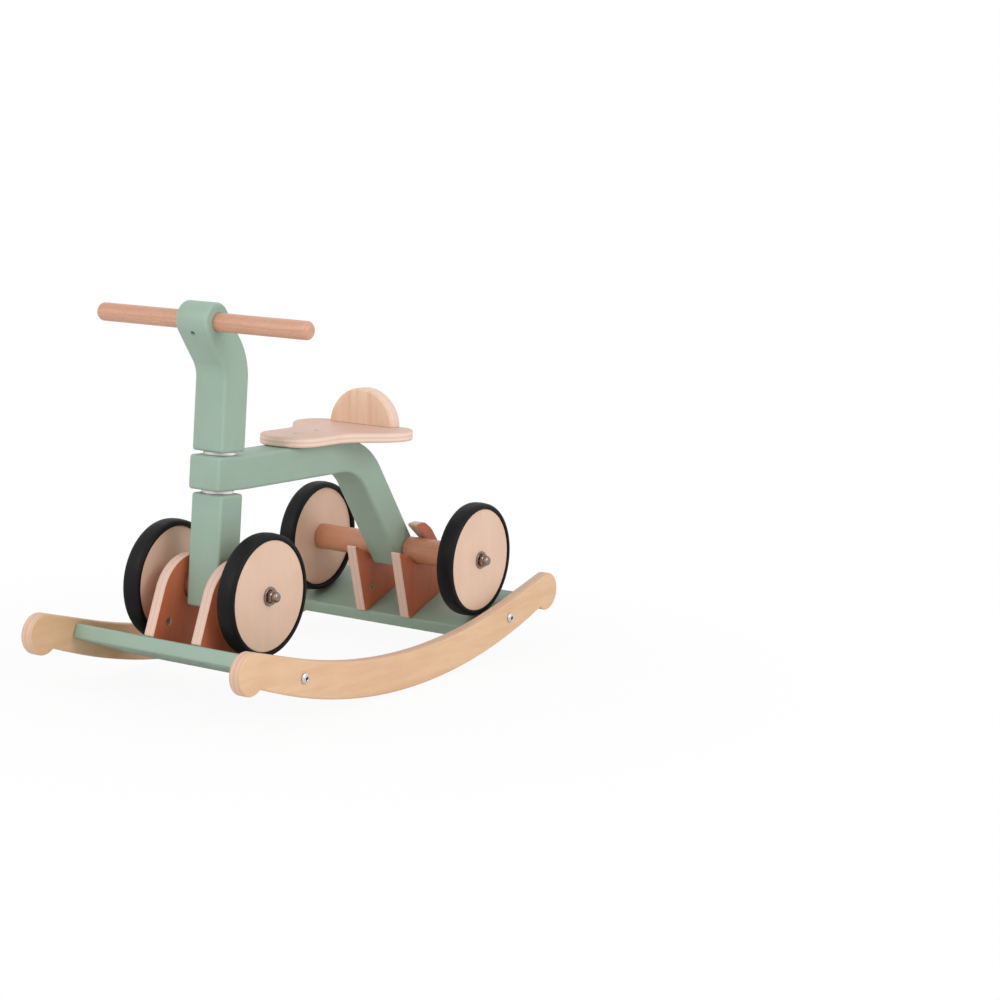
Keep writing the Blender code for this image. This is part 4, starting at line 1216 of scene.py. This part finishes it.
def finish_packed_rods():
    """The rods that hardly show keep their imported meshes."""
    for node in ("front_axle_rod", "rear_axle_rod", "steering_pivot"):
        materials = frame["nodes"][node].data.materials
        materials.clear()
        materials.append(FINISHES["steel"][1])


# Studio

def build_camera():
    """The photograph's viewpoint, a little rolled."""
    back = Vector(CAMERA_BACK).normalized()
    right = Vector((0, 0, 1)).cross(back).normalized()
    up = back.cross(right)
    across = right * cos(CAMERA_ROLL) + up * sin(CAMERA_ROLL)
    upward = up * cos(CAMERA_ROLL) - right * sin(CAMERA_ROLL)
    data = bpy.data.cameras.new("camera")
    data.lens = CAMERA_LENS
    camera = in_scene("camera", data)
    turn = Matrix((across, upward, back)).transposed().to_4x4()
    camera.matrix_world = Matrix.Translation(CAMERA_PLACE) @ turn
    bpy.context.scene.camera = camera


def build_lamps():
    """Round soft lamps that look at the middle of the object."""
    for name, (place, size, power) in LAMPS.items():
        data = bpy.data.lights.new(name, "AREA")
        data.shape = "DISK"
        data.size = size
        data.energy = power
        lamp = in_scene(name, data)
        lamp.location = place
        lamp.rotation_euler = (Vector(LAMP_TARGET) - Vector(place)).to_track_quat("-Z", "Y").to_euler()


def build_world():
    """A plain white room light, and a white background for the camera and for reflections."""
    world = bpy.data.worlds.new("studio")
    world.use_nodes = True
    tree = world.node_tree
    light = tree.nodes["Background"]
    path = tree.nodes.new("ShaderNodeLightPath")
    seen = Wire(tree, path.outputs["Is Camera Ray"])
    for ray in ("Is Glossy Ray", "Is Transmission Ray"):
        seen = seen.at_least(Wire(tree, path.outputs[ray]))
    join(tree, AMBIENT + seen * (1 - AMBIENT), light.inputs["Strength"])
    join(tree, mix_colours(tree, seen, FILL_TINT, WHITE), light.inputs["Color"])
    bpy.context.scene.world = world


def build_floor():
    """A pale floor that fades into the white room away from the object, and holds its soft shadow."""
    edge = FLOOR_REACH
    points = np.array([(-edge, -edge, 0), (edge, -edge, 0), (edge, edge, 0), (-edge, edge, 0)])
    floor = in_scene("floor", new_mesh(points, [[0, 1, 2, 3]]))
    f = Finish("floor", Specular_IOR_Level=0.2)
    speck = f.noise(900, 2.0)
    f.finish(f.blend(speck.step(0.3, 0.8) * 0.3, *FLOOR_GREYS), 0.8)
    far = (f.axis(X) * f.axis(X) + f.axis(Y) * f.axis(Y)).root().step(*FLOOR_FADE)
    seen = f.add("ShaderNodeLightPath", output="Is Camera Ray")
    white = f.add("ShaderNodeEmission", {}, {"Color": WHITE, "Strength": 1.0})
    share = seen * (FLOOR_WHITE + far * (1 - FLOOR_WHITE))
    shown = f.add("ShaderNodeMixShader", {}, {0: share, 1: Wire(f.tree, f.shader.outputs[0]), 2: white})
    join(f.tree, shown, f.tree.nodes["Material Output"].inputs["Surface"])
    floor.data.materials.append(f.material)


def main():
    build_wheels()
    build_timbers()
    build_glides()
    build_seat()
    build_base()
    finish_packed_rods()
    build_camera()
    build_lamps()
    build_world()
    build_floor()
    bpy.context.scene.view_settings.view_transform = "Standard"


main()
